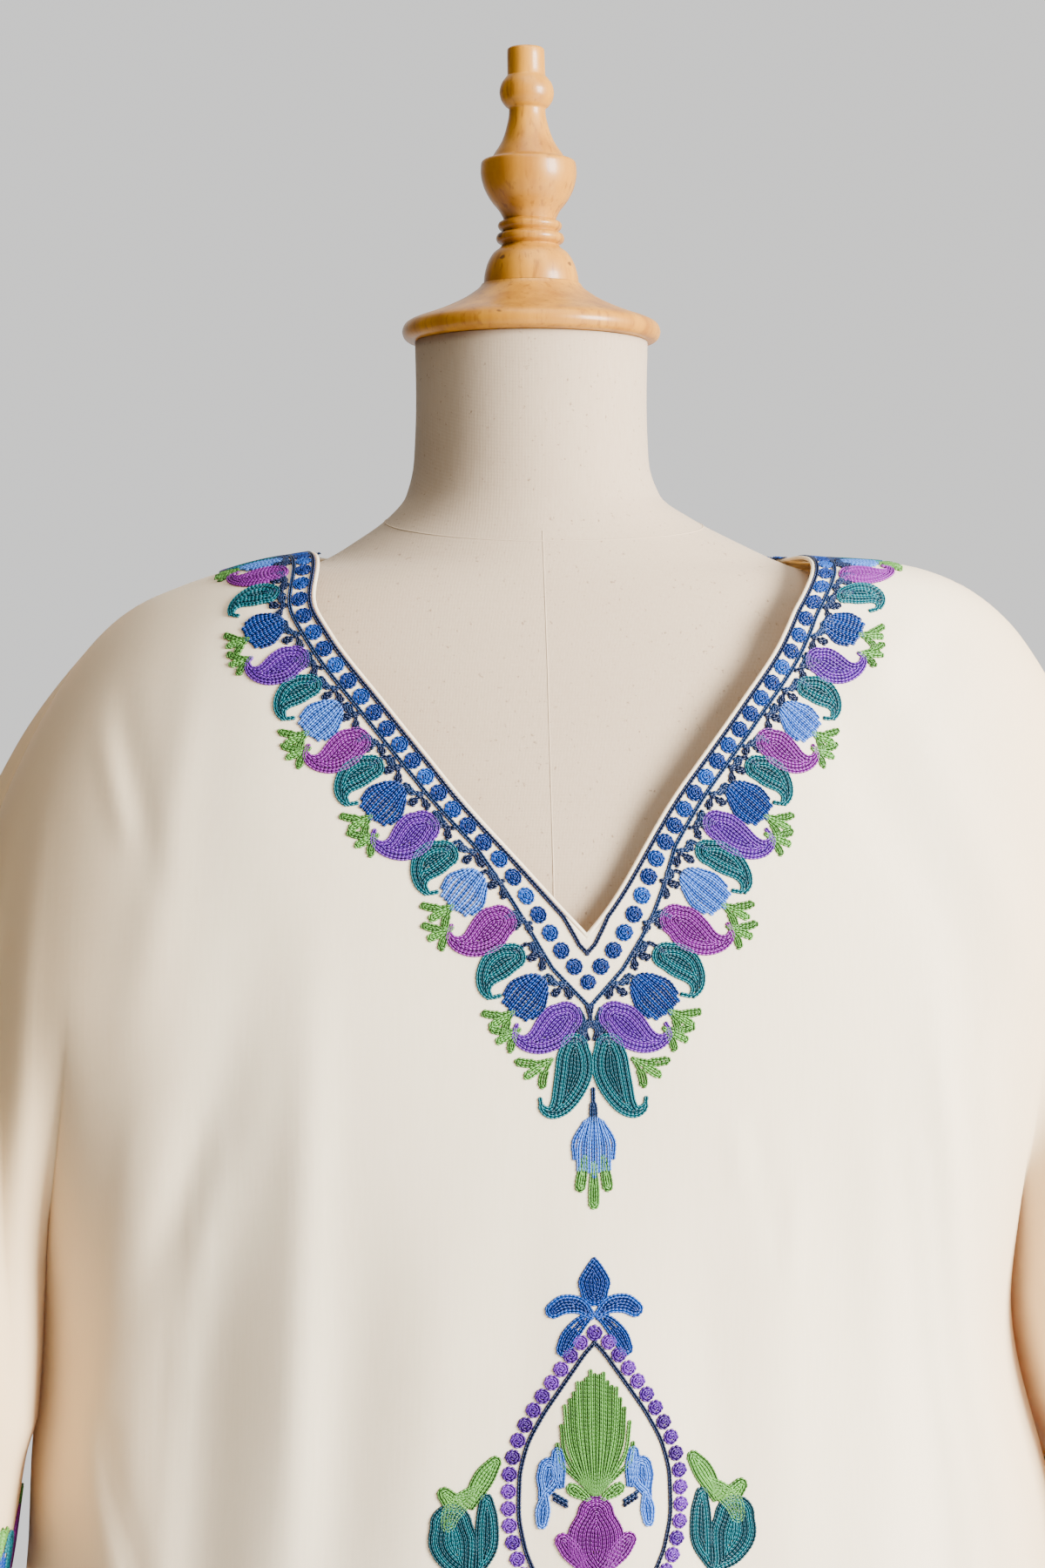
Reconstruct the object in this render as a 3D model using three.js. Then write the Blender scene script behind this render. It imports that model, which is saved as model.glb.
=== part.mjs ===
// An embroidered kaftan with wide cut-in-one sleeves, worn by a limbless dress form on a stand.
// Millimetres, +Z up. The floor is z = 0, the middle of the kaftan is x = 0, its front faces -Y.
import * as THREE from "three";

// ---- driving dimensions -------------------------------------------------------------------

const WALL = 1.8; // thickness of a cloth panel
const SEAM_GAP = 0.34; // space between two pieces that are sewn or fitted together
const HEM = 88; // height of the hem above the floor
const UNDERARM = 1010; // height of the point where the body and the sleeve part
const SHOULDER_SPAN = 229; // from the middle to the end of the shoulder, where the sleeve starts
const PARTING_TOP = 1215; // height at which the body and the sleeve begin to draw apart
const SQUARENESS = 2.3; // 2 would make the sections above the underarm ellipses
const SEAM_FORWARD = 6; // how far the shoulder seam lies in front of the top of the shoulder
const CUFF_INSIDE = 915; // height of the cuff at the underarm seam
const CUFF_OUTSIDE = 868; // height of the cuff at the overarm seam
const NECK_CORNER = 121; // half width of the neck opening on the shoulder
const BINDING_WIDTH = 3.4; // rolled neck binding, measured along the cloth
const BINDING_THICK = 3.2; // and through the cloth

const FORM_X = -9; // the form stands a little to one side of the kaftan's middle
const FORM_TURN = (-3.4 * Math.PI) / 180; // and is turned a little against it
const POLE_RADIUS = 16;
const BASE_RADIUS = 190;
const BASE_HEIGHT = 26;
const NECK_TOP = 1528; // top of the cloth neck, under the wooden cap

// How finely the cloth is divided.
const NECK_COLUMNS = 10; // from the middle of a panel to the neck corner
const SHOULDER_COLUMNS = 8; // from there to the edge of the body
const SLEEVE_COLUMNS = 7; // round one half sleeve
const UPPER_ROWS = 14; // shoulder to underarm
const LOWER_ROWS = 10; // underarm to hem
const CUFF_ROWS = 4; // underarm to cuff

// ---- tables -------------------------------------------------------------------------------

// The outline seen from the front: the shoulder seam, and from z 1375 down the overarm seam.
const OUTLINE = [
  { z: 1441, x: 0 },
  { z: 1434, x: 60 },
  { z: 1421, x: 121 },
  { z: 1416, x: 150 },
  { z: 1409, x: 180 },
  { z: 1397, x: 206 },
  { z: 1375, x: 229 },
  { z: 1331, x: 255 },
  { z: 1288, x: 272 },
  { z: 1235, x: 285 },
  { z: 1180, x: 295 },
  { z: 1085, x: 305 },
  { z: 1010, x: 309 },
];

// The neck opening: half width of the V in front at each height.
const NECK_FRONT = [
  { z: 1242, x: 0 },
  { z: 1257, x: 13.5 },
  { z: 1285, x: 36 },
  { z: 1317, x: 61 },
  { z: 1348, x: 85 },
  { z: 1378, x: 107 },
  { z: 1400, x: 117.5 },
  { z: 1421, x: 121 },
];

// The neck opening seen from above at the back: distance behind the shoulder seam.
const NECK_BACK = [
  { x: 0, y: 82 },
  { x: 40, y: 79 },
  { x: 80, y: 68 },
  { x: 105, y: 47 },
  { x: 118, y: 20 },
  { x: 121, y: 0 },
];

// The body at each height: half width (to the line that parts it from the sleeve, and to the side
// seam below the underarm), and how deep it is in the middle, in front and behind.
const BODY = [
  { z: 1441, edge: 229, front: 72, back: 76 },
  { z: 1421, edge: 229, front: 78, back: 84 },
  { z: 1409, edge: 229, front: 83, back: 90 },
  { z: 1397, edge: 229, front: 89, back: 95 },
  { z: 1375, edge: 229, front: 97, back: 101 },
  { z: 1331, edge: 232, front: 110, back: 106 },
  { z: 1290, edge: 235, front: 121, back: 109 },
  { z: 1250, edge: 238, front: 128, back: 110 },
  { z: 1180, edge: 240, front: 132, back: 111 },
  { z: 1073, edge: 242, front: 134, back: 113 },
  { z: 1010, edge: 246, front: 136, back: 116 },
  { z: 944, edge: 254, front: 138, back: 119 },
  { z: 700, edge: 282, front: 142, back: 127 },
  { z: 400, edge: 311, front: 147, back: 135 },
  { z: 88, edge: 333, front: 153, back: 142 },
];

// The sleeve tube at each height: where the overarm and the underarm seam are, how far the cloth
// swells in front of and behind the seams, and how far the back swells outwards past the seam.
const SLEEVE = [
  { z: 1375, over: 229, under: 229, front: 60, back: 70, swell: 0 },
  { z: 1331, over: 255, under: 232, front: 64, back: 78, swell: 7 },
  { z: 1235, over: 285, under: 238, front: 70, back: 88, swell: 13 },
  { z: 1085, over: 305, under: 242, front: 74, back: 96, swell: 13 },
  { z: 1010, over: 309, under: 246, front: 76, back: 98, swell: 12 },
  { z: 986, over: 312, under: 253, front: 77, back: 98, swell: 12 },
  { z: 944, over: 319, under: 263, front: 78, back: 99, swell: 11 },
  { z: 915, over: 324, under: 269, front: 79, back: 100, swell: 10 },
  { z: 850, over: 332, under: 281, front: 83, back: 102, swell: 8 },
];

// The folds. Each runs from its top to its bottom height, and moves across the panel from the share
// of the half width at its top to that at its bottom. Width is a share too, and depth is how far the
// cloth stands out (or sinks, when negative) at the bottom.
const FOLDS = [
  { panel: "front", top: 1180, bottom: 88, from: -0.6, to: -0.53, width: 0.06, depth: 9 },
  { panel: "front", top: 1120, bottom: 88, from: -0.7, to: -0.69, width: 0.05, depth: -9 },
  { panel: "front", top: 1220, bottom: 88, from: -0.84, to: -0.83, width: 0.07, depth: 12 },
  { panel: "front", top: 900, bottom: 88, from: -0.22, to: -0.2, width: 0.09, depth: -13 },
  { panel: "front", top: 820, bottom: 88, from: 0.04, to: 0.02, width: 0.11, depth: 10 },
  { panel: "front", top: 960, bottom: 88, from: 0.27, to: 0.26, width: 0.08, depth: -11 },
  { panel: "front", top: 1190, bottom: 88, from: 0.55, to: 0.51, width: 0.07, depth: 11 },
  { panel: "front", top: 1150, bottom: 88, from: 0.68, to: 0.7, width: 0.05, depth: -8 },
  { panel: "front", top: 1230, bottom: 88, from: 0.84, to: 0.86, width: 0.06, depth: 10 },
  { panel: "back", top: 1270, bottom: 88, from: -0.78, to: -0.8, width: 0.07, depth: 12 },
  { panel: "back", top: 1180, bottom: 88, from: -0.58, to: -0.6, width: 0.07, depth: -13 },
  { panel: "back", top: 1240, bottom: 88, from: -0.36, to: -0.34, width: 0.09, depth: 13 },
  { panel: "back", top: 1120, bottom: 88, from: -0.1, to: -0.08, width: 0.08, depth: -12 },
  { panel: "back", top: 1260, bottom: 88, from: 0.12, to: 0.17, width: 0.09, depth: 14 },
  { panel: "back", top: 1150, bottom: 88, from: 0.42, to: 0.41, width: 0.07, depth: -12 },
  { panel: "back", top: 1250, bottom: 88, from: 0.63, to: 0.62, width: 0.07, depth: 12 },
  { panel: "back", top: 1100, bottom: 88, from: 0.83, to: 0.8, width: 0.06, depth: -10 },
];

// The torso of the form, level by level: how far it reaches to its own right (-X) and left (+X), in
// front and behind, and how square the level is.
const TORSO = [
  { z: NECK_TOP, right: 57.5, left: 57.5, front: 57.5, back: 57.5, power: 2 },
  { z: 1500, right: 57, left: 57, front: 57, back: 57, power: 2 },
  { z: 1470, right: 58, left: 58, front: 57, back: 58, power: 2 },
  { z: 1452, right: 62, left: 64, front: 57, back: 60, power: 2 },
  { z: 1441, right: 71, left: 80, front: 58, back: 63, power: 1.9 },
  { z: 1430, right: 86, left: 102, front: 61, back: 66, power: 1.8 },
  { z: 1418.5, right: 106, left: 128, front: 66, back: 71, power: 1.8 },
  { z: 1410, right: 138, left: 158, front: 69, back: 75, power: 1.9 },
  { z: 1400, right: 166, left: 181, front: 73, back: 80, power: 2 },
  { z: 1386, right: 190, left: 198, front: 78, back: 85, power: 2 },
  { z: 1365, right: 203, left: 205, front: 86, back: 91, power: 2.1 },
  { z: 1340, right: 200, left: 200, front: 93, back: 95, power: 2.2 },
  { z: 1305, right: 187, left: 187, front: 104, back: 97, power: 2.2 },
  { z: 1260, right: 169, left: 169, front: 116, back: 96, power: 2.2 },
  { z: 1215, right: 157, left: 157, front: 119, back: 92, power: 2.2 },
  { z: 1150, right: 138, left: 138, front: 105, back: 84, power: 2.2 },
  { z: 1060, right: 117, left: 117, front: 92, back: 82, power: 2.2 },
  { z: 980, right: 142, left: 142, front: 99, back: 98, power: 2.2 },
  { z: 900, right: 164, left: 164, front: 106, back: 108, power: 2.2 },
  { z: 845, right: 168, left: 168, front: 107, back: 110, power: 2.2 },
  { z: 808, right: 163, left: 163, front: 104, back: 106, power: 2.2 },
  { z: 794, right: 150, left: 150, front: 94, back: 97, power: 2.2 },
  { z: 788, right: 118, left: 118, front: 72, back: 74, power: 2.1 },
];

// The turned finial, from its foot to its top: radius at each height.
const FINIAL = [
  { z: 1557.3, r: 23.6 },
  { z: 1561, r: 23.2 },
  { z: 1567, r: 21.6 },
  { z: 1572.5, r: 18.4 },
  { z: 1575, r: 15.2 },
  { z: 1576.4, r: 14.2 },
  { z: 1577.8, r: 16.2 },
  { z: 1579.6, r: 16.9 },
  { z: 1581.6, r: 16.2 },
  { z: 1583, r: 13.9 },
  { z: 1584.4, r: 15.3 },
  { z: 1586, r: 15.9 },
  { z: 1587.6, r: 15.2 },
  { z: 1589, r: 13 },
  { z: 1593, r: 14.8 },
  { z: 1599, r: 19.4 },
  { z: 1606, r: 22.7 },
  { z: 1612, r: 23.8 },
  { z: 1617, r: 23.4 },
  { z: 1618.6, r: 21.4 },
  { z: 1619, r: 18.8 },
  { z: 1622, r: 16.6 },
  { z: 1628, r: 12.8 },
  { z: 1635, r: 10.4 },
  { z: 1641, r: 9.1 },
  { z: 1643.5, r: 9 },
  { z: 1645, r: 10.6 },
  { z: 1648.5, r: 12.9 },
  { z: 1652, r: 13.5 },
  { z: 1656, r: 12.6 },
  { z: 1659.4, r: 10.2 },
  { z: 1660.6, r: 9.4 },
  { z: 1672.8, r: 9.2 },
  { z: 1674, r: 8.2 },
];

// The wooden cap on the neck: a shallow cone with a rounded brim.
const CAP = [
  { z: NECK_TOP + 0.3, r: 57 },
  { z: 1528.6, r: 60.4 },
  { z: 1530.4, r: 63 },
  { z: 1533.4, r: 63.9 },
  { z: 1536.6, r: 62.8 },
  { z: 1538.6, r: 60.2 },
  { z: 1543.6, r: 46.5 },
  { z: 1550, r: 33 },
  { z: 1555.4, r: 25.6 },
  { z: 1557, r: 24.6 },
];

// ---- reading the tables -------------------------------------------------------------------

// The value in one column of a table where another column has a given value, eased between rows.
function read(table, key, column, value) {
  const rising = table[0][key] < table[table.length - 1][key];
  const rows = rising ? table : table.slice().reverse();
  const last = rows.length - 1;
  if (value <= rows[0][key]) return rows[0][column];
  if (value >= rows[last][key]) return rows[last][column];
  let i = 0;
  while (rows[i + 1][key] < value) i += 1;
  const width = rows[i + 1][key] - rows[i][key];
  const t = (value - rows[i][key]) / width;
  const from = slope(rows, key, column, i) * width;
  const to = slope(rows, key, column, i + 1) * width;
  const a = rows[i][column];
  const b = rows[i + 1][column];
  return (
    a * (1 + 2 * t) * (1 - t) ** 2 +
    from * t * (1 - t) ** 2 +
    b * t * t * (3 - 2 * t) -
    to * t * t * (1 - t)
  );
}

// The slope of a table at one row. It is level at a peak, so that the curve doesn't overshoot.
function slope(rows, key, column, i) {
  const before = i > 0 ? steepness(rows, key, column, i - 1) : null;
  const after = i < rows.length - 1 ? steepness(rows, key, column, i) : null;
  if (before === null) return after;
  if (after === null) return before;
  if (before * after <= 0) return 0;
  return (2 * before * after) / (before + after);
}

function steepness(rows, key, column, i) {
  return (rows[i + 1][column] - rows[i][column]) / (rows[i + 1][key] - rows[i][key]);
}

// 0 below the start, 1 past the end, and a soft step between.
function ease(start, end, value) {
  const t = Math.min(1, Math.max(0, (value - start) / (end - start)));
  return t * t * (3 - 2 * t);
}

// ---- the cloth ----------------------------------------------------------------------------

// How far the folds push a panel out at a share of the half width and a height.
function foldDepth(panel, share, z) {
  let out = 0;
  for (const fold of FOLDS) {
    if (fold.panel !== panel) continue;
    const down = (fold.top - z) / (fold.top - fold.bottom);
    if (down <= 0) continue;
    const middle = fold.from + (fold.to - fold.from) * Math.min(1, down);
    const away = (share - middle) / fold.width;
    out += fold.depth * Math.sin((down * Math.PI) / 2) * Math.exp(-away * away);
  }
  return out;
}

// How far the body and the sleeve have drawn apart: 0 high up, where one curve runs over both, and
// 1 at the underarm and below.
function parting(z) {
  return ease(PARTING_TOP, UNDERARM, z);
}

// The depth of the whole front or back at a distance from the middle, where one curve spans it.
function spanDepth(panel, x, z) {
  const share = Math.min(1, Math.abs(x) / read(OUTLINE, "z", "x", z));
  return read(BODY, "z", panel, z) * (1 - share ** SQUARENESS) ** (1 / SQUARENESS);
}

// Where the shoulder seam and the overarm seam lie, seen from the side.
function seamY(z) {
  return -SEAM_FORWARD * ease(1250, 1380, z);
}

function direction(panel) {
  return panel === "front" ? -1 : 1;
}

// A point of a panel of the body. Share is -1 at one edge of the body and 1 at the other.
function bodyPoint(panel, share, z) {
  const x = read(BODY, "z", "edge", z) * share;
  const own = read(BODY, "z", panel, z) * (1 - share * share) ** (0.5 + 0.1 * ease(1010, 500, z));
  const apart = parting(z);
  const calm = ease(1, 0.9, Math.abs(share)) * ease(1375, 1240, z);
  let depth = own * apart + foldDepth(panel, share, z) * calm;
  if (apart < 1) depth += spanDepth(panel, x, z) * (1 - apart);
  return [x, direction(panel) * depth + seamY(z), z];
}

// How the hung cloth has settled. The upper part of the V leans over, the left shoulder (+X) sits
// higher and further out than the right, and below the arms the body draws in.
function settled(panel, [x, y, z]) {
  const below = read(OUTLINE, "x", "z", Math.min(SHOULDER_SPAN, Math.abs(x))) - z;
  const near = ease(228, 130, Math.abs(x)) * ease(0, 34, below);
  const neck = panel === "front" ? -10 * near * ease(1240, 1310, z) : 0;
  const shoulder = 6 * ease(150, 229, x) * ease(1150, 1330, z);
  const right = -14 * ease(140, 236, x) * ease(1240, 1190, z) * ease(950, 1065, z);
  const left = -5 * ease(-140, -236, x) * ease(1180, 1080, z) * ease(930, 1000, z);
  const up = (8 * ease(112, 190, x) - 3.5 * ease(-135, -190, x)) * ease(1230, 1360, z);
  return [x + neck + shoulder + right + left, y, z + up];
}

// The point of a panel above the underarm at a distance from the middle and a height.
function surfacePoint(panel, x, z) {
  return bodyPoint(panel, x / read(BODY, "z", "edge", z), z);
}

// The neck edge of one panel, from the middle of the V or of the back neck to the neck corner.
function neckLine(panel) {
  const fine = 200;
  const line = [];
  for (let i = 0; i <= fine; i += 1) {
    const t = 1 - (1 - i / fine) ** 2;
    if (panel === "front") {
      const z = NECK_FRONT[0].z + (NECK_FRONT.at(-1).z - NECK_FRONT[0].z) * t;
      line.push(surfacePoint(panel, read(NECK_FRONT, "z", "x", z), z));
    } else {
      const y = NECK_BACK[0].y * (1 - t);
      line.push(backNeckPoint(read(NECK_BACK, "y", "x", y), y));
    }
  }
  return line;
}

// The point of the back panel at a distance from the middle and a distance behind the seam.
function backNeckPoint(x, y) {
  let high = read(OUTLINE, "x", "z", x);
  let low = high - 60;
  for (let i = 0; i < 30; i += 1) {
    const z = (high + low) / 2;
    if (surfacePoint("back", x, z)[1] < y - SEAM_FORWARD) high = z;
    else low = z;
  }
  return surfacePoint("back", x, (high + low) / 2);
}

// The tops of the columns of half a panel: on the neck edge, and then along the shoulder seam.
function columnTops(panel) {
  const neck = spread(neckLine(panel), NECK_COLUMNS);
  const corner = NECK_CORNER / SHOULDER_SPAN;
  const shoulder = [];
  for (let i = 1; i <= SHOULDER_COLUMNS; i += 1) {
    const t = Math.sin(((i / SHOULDER_COLUMNS) * Math.PI) / 2) ** 1.15;
    const x = SHOULDER_SPAN * (corner + (1 - corner) * t);
    shoulder.push([x, seamY(1380), read(OUTLINE, "x", "z", x)]);
  }
  return [...neck, ...shoulder];
}

// The shares of the half width at which the columns arrive at the underarm and go on to the hem.
function columnShares() {
  const shares = [];
  const corner = 0.62;
  for (let i = 0; i <= NECK_COLUMNS; i += 1) shares.push((corner * i) / NECK_COLUMNS);
  for (let i = 1; i <= SHOULDER_COLUMNS; i += 1) {
    shares.push(corner + (1 - corner) * Math.sin(((i / SHOULDER_COLUMNS) * Math.PI) / 2));
  }
  return shares;
}

// One column of the body from its top down to the underarm, and on to the hem.
function column(panel, top, share, side) {
  const fine = 300;
  const line = [];
  for (let i = 0; i <= fine; i += 1) {
    const down = (i / fine) ** 3;
    const z = top[2] - (top[2] - UNDERARM) * down;
    const edge = read(BODY, "z", "edge", z);
    const drift = 1 - (1 - down) ** 4;
    line.push(bodyPoint(panel, (side * (top[0] + (share * edge - top[0]) * drift)) / edge, z));
  }
  const points = spread(line, UPPER_ROWS);
  for (let j = 1; j <= LOWER_ROWS; j += 1) {
    points.push(bodyPoint(panel, side * share, UNDERARM - ((UNDERARM - HEM) * j) / LOWER_ROWS));
  }
  return points;
}

function mix(a, b, t) {
  return a.map((value, i) => value + (b[i] - value) * t);
}

// A line divided into a number of equal steps.
function spread(line, steps) {
  const run = [0];
  for (let i = 1; i < line.length; i += 1) {
    run.push(run[i - 1] + Math.hypot(...line[i].map((value, k) => value - line[i - 1][k])));
  }
  const points = [];
  let i = 0;
  for (let step = 0; step <= steps; step += 1) {
    const want = (run[run.length - 1] * step) / steps;
    while (i < line.length - 2 && run[i + 1] < want) i += 1;
    points.push(mix(line[i], line[i + 1], (want - run[i]) / (run[i + 1] - run[i])));
  }
  return points;
}

// A point of a half sleeve: turn is 0 at the overarm seam and 1 at the underarm seam.
function sleevePoint(panel, turn, z) {
  const over = read(SLEEVE, "z", "over", z);
  const under = read(SLEEVE, "z", "under", z);
  const depth = read(SLEEVE, "z", panel, z);
  const angle = turn * Math.PI;
  const swell = panel === "back" ? read(SLEEVE, "z", "swell", z) : 0;
  const x = (over + under) / 2 + ((over - under) / 2) * Math.cos(angle);
  const out = swell * Math.sin(angle) * Math.max(0, Math.cos(angle)) * 2;
  return [x + out, direction(panel) * depth * Math.sin(angle) + seamY(z), z];
}

// A point of the curve that spans body and sleeve together, with turn counted as above.
function spanPoint(panel, turn, z, edge) {
  const reach = read(OUTLINE, "z", "x", z);
  const start = Math.asin(Math.min(1, edge / reach));
  const x = reach * Math.sin(Math.PI / 2 + (start - Math.PI / 2) * turn);
  const swell = panel === "back" ? read(SLEEVE, "z", "swell", z) : 0;
  const out = 2 * swell * Math.sin(turn * Math.PI) * Math.max(0, Math.cos(turn * Math.PI));
  return [x + out, direction(panel) * spanDepth(panel, x, z) + seamY(z), z];
}

// A half sleeve of one panel as rows of points, for the wearer's left arm. Its inner edge runs down
// the edge of the body as far as the underarm, and then down the underarm seam.
function sleeveGrid(panel, edge) {
  const rows = [];
  for (let j = 0; j <= UPPER_ROWS + CUFF_ROWS; j += 1) {
    const row = [];
    const past = Math.max(0, j - UPPER_ROWS) / CUFF_ROWS;
    const inside = past === 0 ? edge[j][2] : UNDERARM + (CUFF_INSIDE - UNDERARM) * past;
    const outside = past === 0 ? inside : UNDERARM + (CUFF_OUTSIDE - UNDERARM) * past;
    for (let k = 0; k <= SLEEVE_COLUMNS; k += 1) {
      const turn = k / SLEEVE_COLUMNS;
      const z = inside + (outside - inside) * (1 - turn);
      const own = sleevePoint(panel, turn, z);
      const apart = parting(z);
      if (past === 0 && k === SLEEVE_COLUMNS) row.push(edge[j]);
      else if (apart === 1) row.push(own);
      else row.push(mix(spanPoint(panel, turn, z, edge[j][0]), own, apart));
    }
    rows.push(row);
  }
  return rows;
}

// The whole panel as three grids of points that share their edges.
function panelGrids(panel) {
  const tops = columnTops(panel);
  const shares = columnShares();
  const half = (side) => tops.map((top, i) => column(panel, top, shares[i], side));
  const body = [...half(-1).slice(1).reverse(), ...half(1)];
  const mirror = ([x, y, z]) => [-x, y, z];
  const right = sleeveGrid(panel, body.at(-1));
  const left = sleeveGrid(panel, body[0].map(mirror)).map((row) => row.map(mirror));
  const settle = (rows) => rows.map((row) => row.map((p) => settled(panel, p)));
  return { body: settle(body), right: settle(right), left: settle(left) };
}

// A sheet of cloth: points that several grids share are held once.
class Sheet {
  constructor() {
    this.points = [];
    this.faces = [];
    this.index = new Map();
  }

  point(p) {
    const key = p.map((value) => Math.round(value * 1000)).join(" ");
    if (!this.index.has(key)) {
      this.index.set(key, this.points.length);
      this.points.push(p);
    }
    return this.index.get(key);
  }

  face(a, b, c) {
    if (a !== b && b !== c && c !== a) this.faces.push([a, b, c]);
  }

  // Two triangles for each cell of a grid, which is split along its shorter diagonal. The flag
  // turns the sheet's outside round.
  grid(rows, turned) {
    const ids = rows.map((row) => row.map((p) => this.point(p)));
    for (let j = 0; j + 1 < ids.length; j += 1) {
      for (let k = 0; k + 1 < ids[j].length; k += 1) {
        const corners = [ids[j][k], ids[j][k + 1], ids[j + 1][k + 1], ids[j + 1][k]];
        if (turned) corners.reverse();
        if (this.span(corners[1], corners[3]) < this.span(corners[0], corners[2])) {
          corners.push(corners.shift());
        }
        this.face(corners[0], corners[1], corners[2]);
        this.face(corners[0], corners[2], corners[3]);
      }
    }
  }

  // The distance between two of the sheet's points.
  span(a, b) {
    return Math.hypot(...this.points[a].map((value, i) => value - this.points[b][i]));
  }

  // The direction that the sheet faces at each point, which is towards the wearer.
  normals() {
    const sums = this.points.map(() => new THREE.Vector3());
    for (const face of this.faces) {
      const [a, b, c] = face.map((i) => new THREE.Vector3(...this.points[i]));
      const away = b.sub(a).cross(c.sub(a));
      for (const i of face) sums[i].add(away);
    }
    return sums.map((sum) => sum.normalize());
  }

  // The edges that only one triangle uses.
  rim() {
    const seen = new Map();
    for (const [a, b, c] of this.faces) {
      for (const [from, to] of [[a, b], [b, c], [c, a]]) seen.set(from + ">" + to, [from, to]);
    }
    return [...seen.values()].filter(([from, to]) => !seen.has(to + ">" + from));
  }

  // A closed solid: the sheet, a copy of it moved outwards by the wall, and a strip round its edges.
  solid(wall, inward) {
    const normals = this.normals();
    const outer = this.points.map((p, i) => {
      const n = inward(p, normals[i]);
      return [p[0] - n.x * wall, p[1] - n.y * wall, p[2] - n.z * wall];
    });
    const count = this.points.length;
    const faces = [];
    for (const [a, b, c] of this.faces) {
      faces.push([a, b, c], [a + count, c + count, b + count]);
    }
    for (const [a, b] of this.rim()) {
      faces.push([b, a, a + count], [b, a + count, b + count]);
    }
    return geometryOf([...this.points, ...outer], faces);
  }
}

function geometryOf(points, faces) {
  const geometry = new THREE.BufferGeometry();
  geometry.setAttribute("position", new THREE.Float32BufferAttribute(points.flat(), 3));
  geometry.setIndex(faces.flat());
  geometry.computeVertexNormals();
  return geometry;
}

// The direction straight out of the shoulder seam and the overarm seam, in the seam's own plane.
function outOfSeam(side, z) {
  const step = 3;
  const run = read(OUTLINE, "z", "x", z - step) - read(OUTLINE, "z", "x", z + step);
  return new THREE.Vector3(side * 2 * step, 0, run).normalize();
}

// A cloth panel with its wall. Along the seams the wall is square to the seam, so that the two
// panels stay the gap apart, and at the underarm point it is upright.
function clothPanel(panel) {
  const grids = panelGrids(panel);
  const shift = (direction(panel) * SEAM_GAP) / 2;
  const moved = (rows) => rows.map((row) => row.map(([x, y, z]) => [x, y + shift, z]));
  const sheet = new Sheet();
  const front = panel === "front";
  sheet.grid(moved(grids.body), front);
  sheet.grid(moved(grids.right), front);
  sheet.grid(moved(grids.left), !front);
  const overSeam = new Set();
  const sideSeam = new Set();
  const name = ([x, y, z]) => [x, y + shift, z].map((value) => value.toFixed(2)).join(" ");
  for (const rows of [grids.right, grids.left]) {
    rows.forEach((row) => overSeam.add(name(row[0])));
    rows.slice(UPPER_ROWS + 1).forEach((row) => sideSeam.add(name(row[SLEEVE_COLUMNS])));
  }
  grids.body.forEach((column, i) => {
    const fromMiddle = Math.abs(i - NECK_COLUMNS - SHOULDER_COLUMNS);
    if (fromMiddle >= NECK_COLUMNS) overSeam.add(name(column[0]));
  });
  for (const column of [grids.body[0], grids.body.at(-1)]) {
    column.slice(UPPER_ROWS + 1).forEach((p) => sideSeam.add(name(p)));
  }
  const underarm = new Set([name(grids.right[UPPER_ROWS][SLEEVE_COLUMNS])]);
  underarm.add(name(grids.left[UPPER_ROWS][SLEEVE_COLUMNS]));
  const inward = (p, normal) => {
    const key = p.map((value) => value.toFixed(2)).join(" ");
    if (underarm.has(key)) return new THREE.Vector3(0, 0, 1);
    if (overSeam.has(key)) return outOfSeam(Math.sign(p[0]), p[2]).negate();
    if (sideSeam.has(key)) return new THREE.Vector3(normal.x, 0, normal.z).normalize();
    return normal;
  };
  return sheet.solid(WALL, inward);
}

// ---- the neck binding ---------------------------------------------------------------------

// The neck edge, all the way round: along the front, and back along the back panel. Each place
// knows the direction out of the cloth and a direction towards the cloth.
function neckEdge() {
  const places = [];
  for (const panel of ["front", "back"]) {
    const tops = columnTops(panel).slice(0, NECK_COLUMNS + 1);
    const whole = [...tops.slice(1).reverse().map(([x, y, z]) => [-x, y, z]), ...tops];
    const row = panel === "front" ? whole : whole.reverse().slice(1, -1);
    for (const [x, y, z] of row) {
      const corner = Math.abs(x) > NECK_CORNER - 0.01;
      const out = corner ? outOfSeam(Math.sign(x), z) : outOfPanel(panel, x, z);
      const inside = new THREE.Vector3(Math.sign(x) * 0.5, direction(panel) * 0.2, -1);
      if (corner) inside.set(Math.sign(x), 0, 0);
      if (panel === "back") inside.set(Math.sign(x) * 0.5, 1, -0.3);
      places.push({ at: new THREE.Vector3(...settled(panel, [x, y, z])), out, inside });
    }
  }
  return places;
}

// The direction straight out of a panel.
function outOfPanel(panel, x, z) {
  const step = 0.4;
  const at = (dx, dz) => new THREE.Vector3(...settled(panel, surfacePoint(panel, x + dx, z + dz)));
  const here = at(0, 0);
  const below = at(0, -step).sub(here);
  const beside = at(x > 0 ? -step : step, 0).sub(here);
  const out = below.cross(beside).normalize();
  return out.y * direction(panel) < 0 ? out.negate() : out;
}

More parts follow.
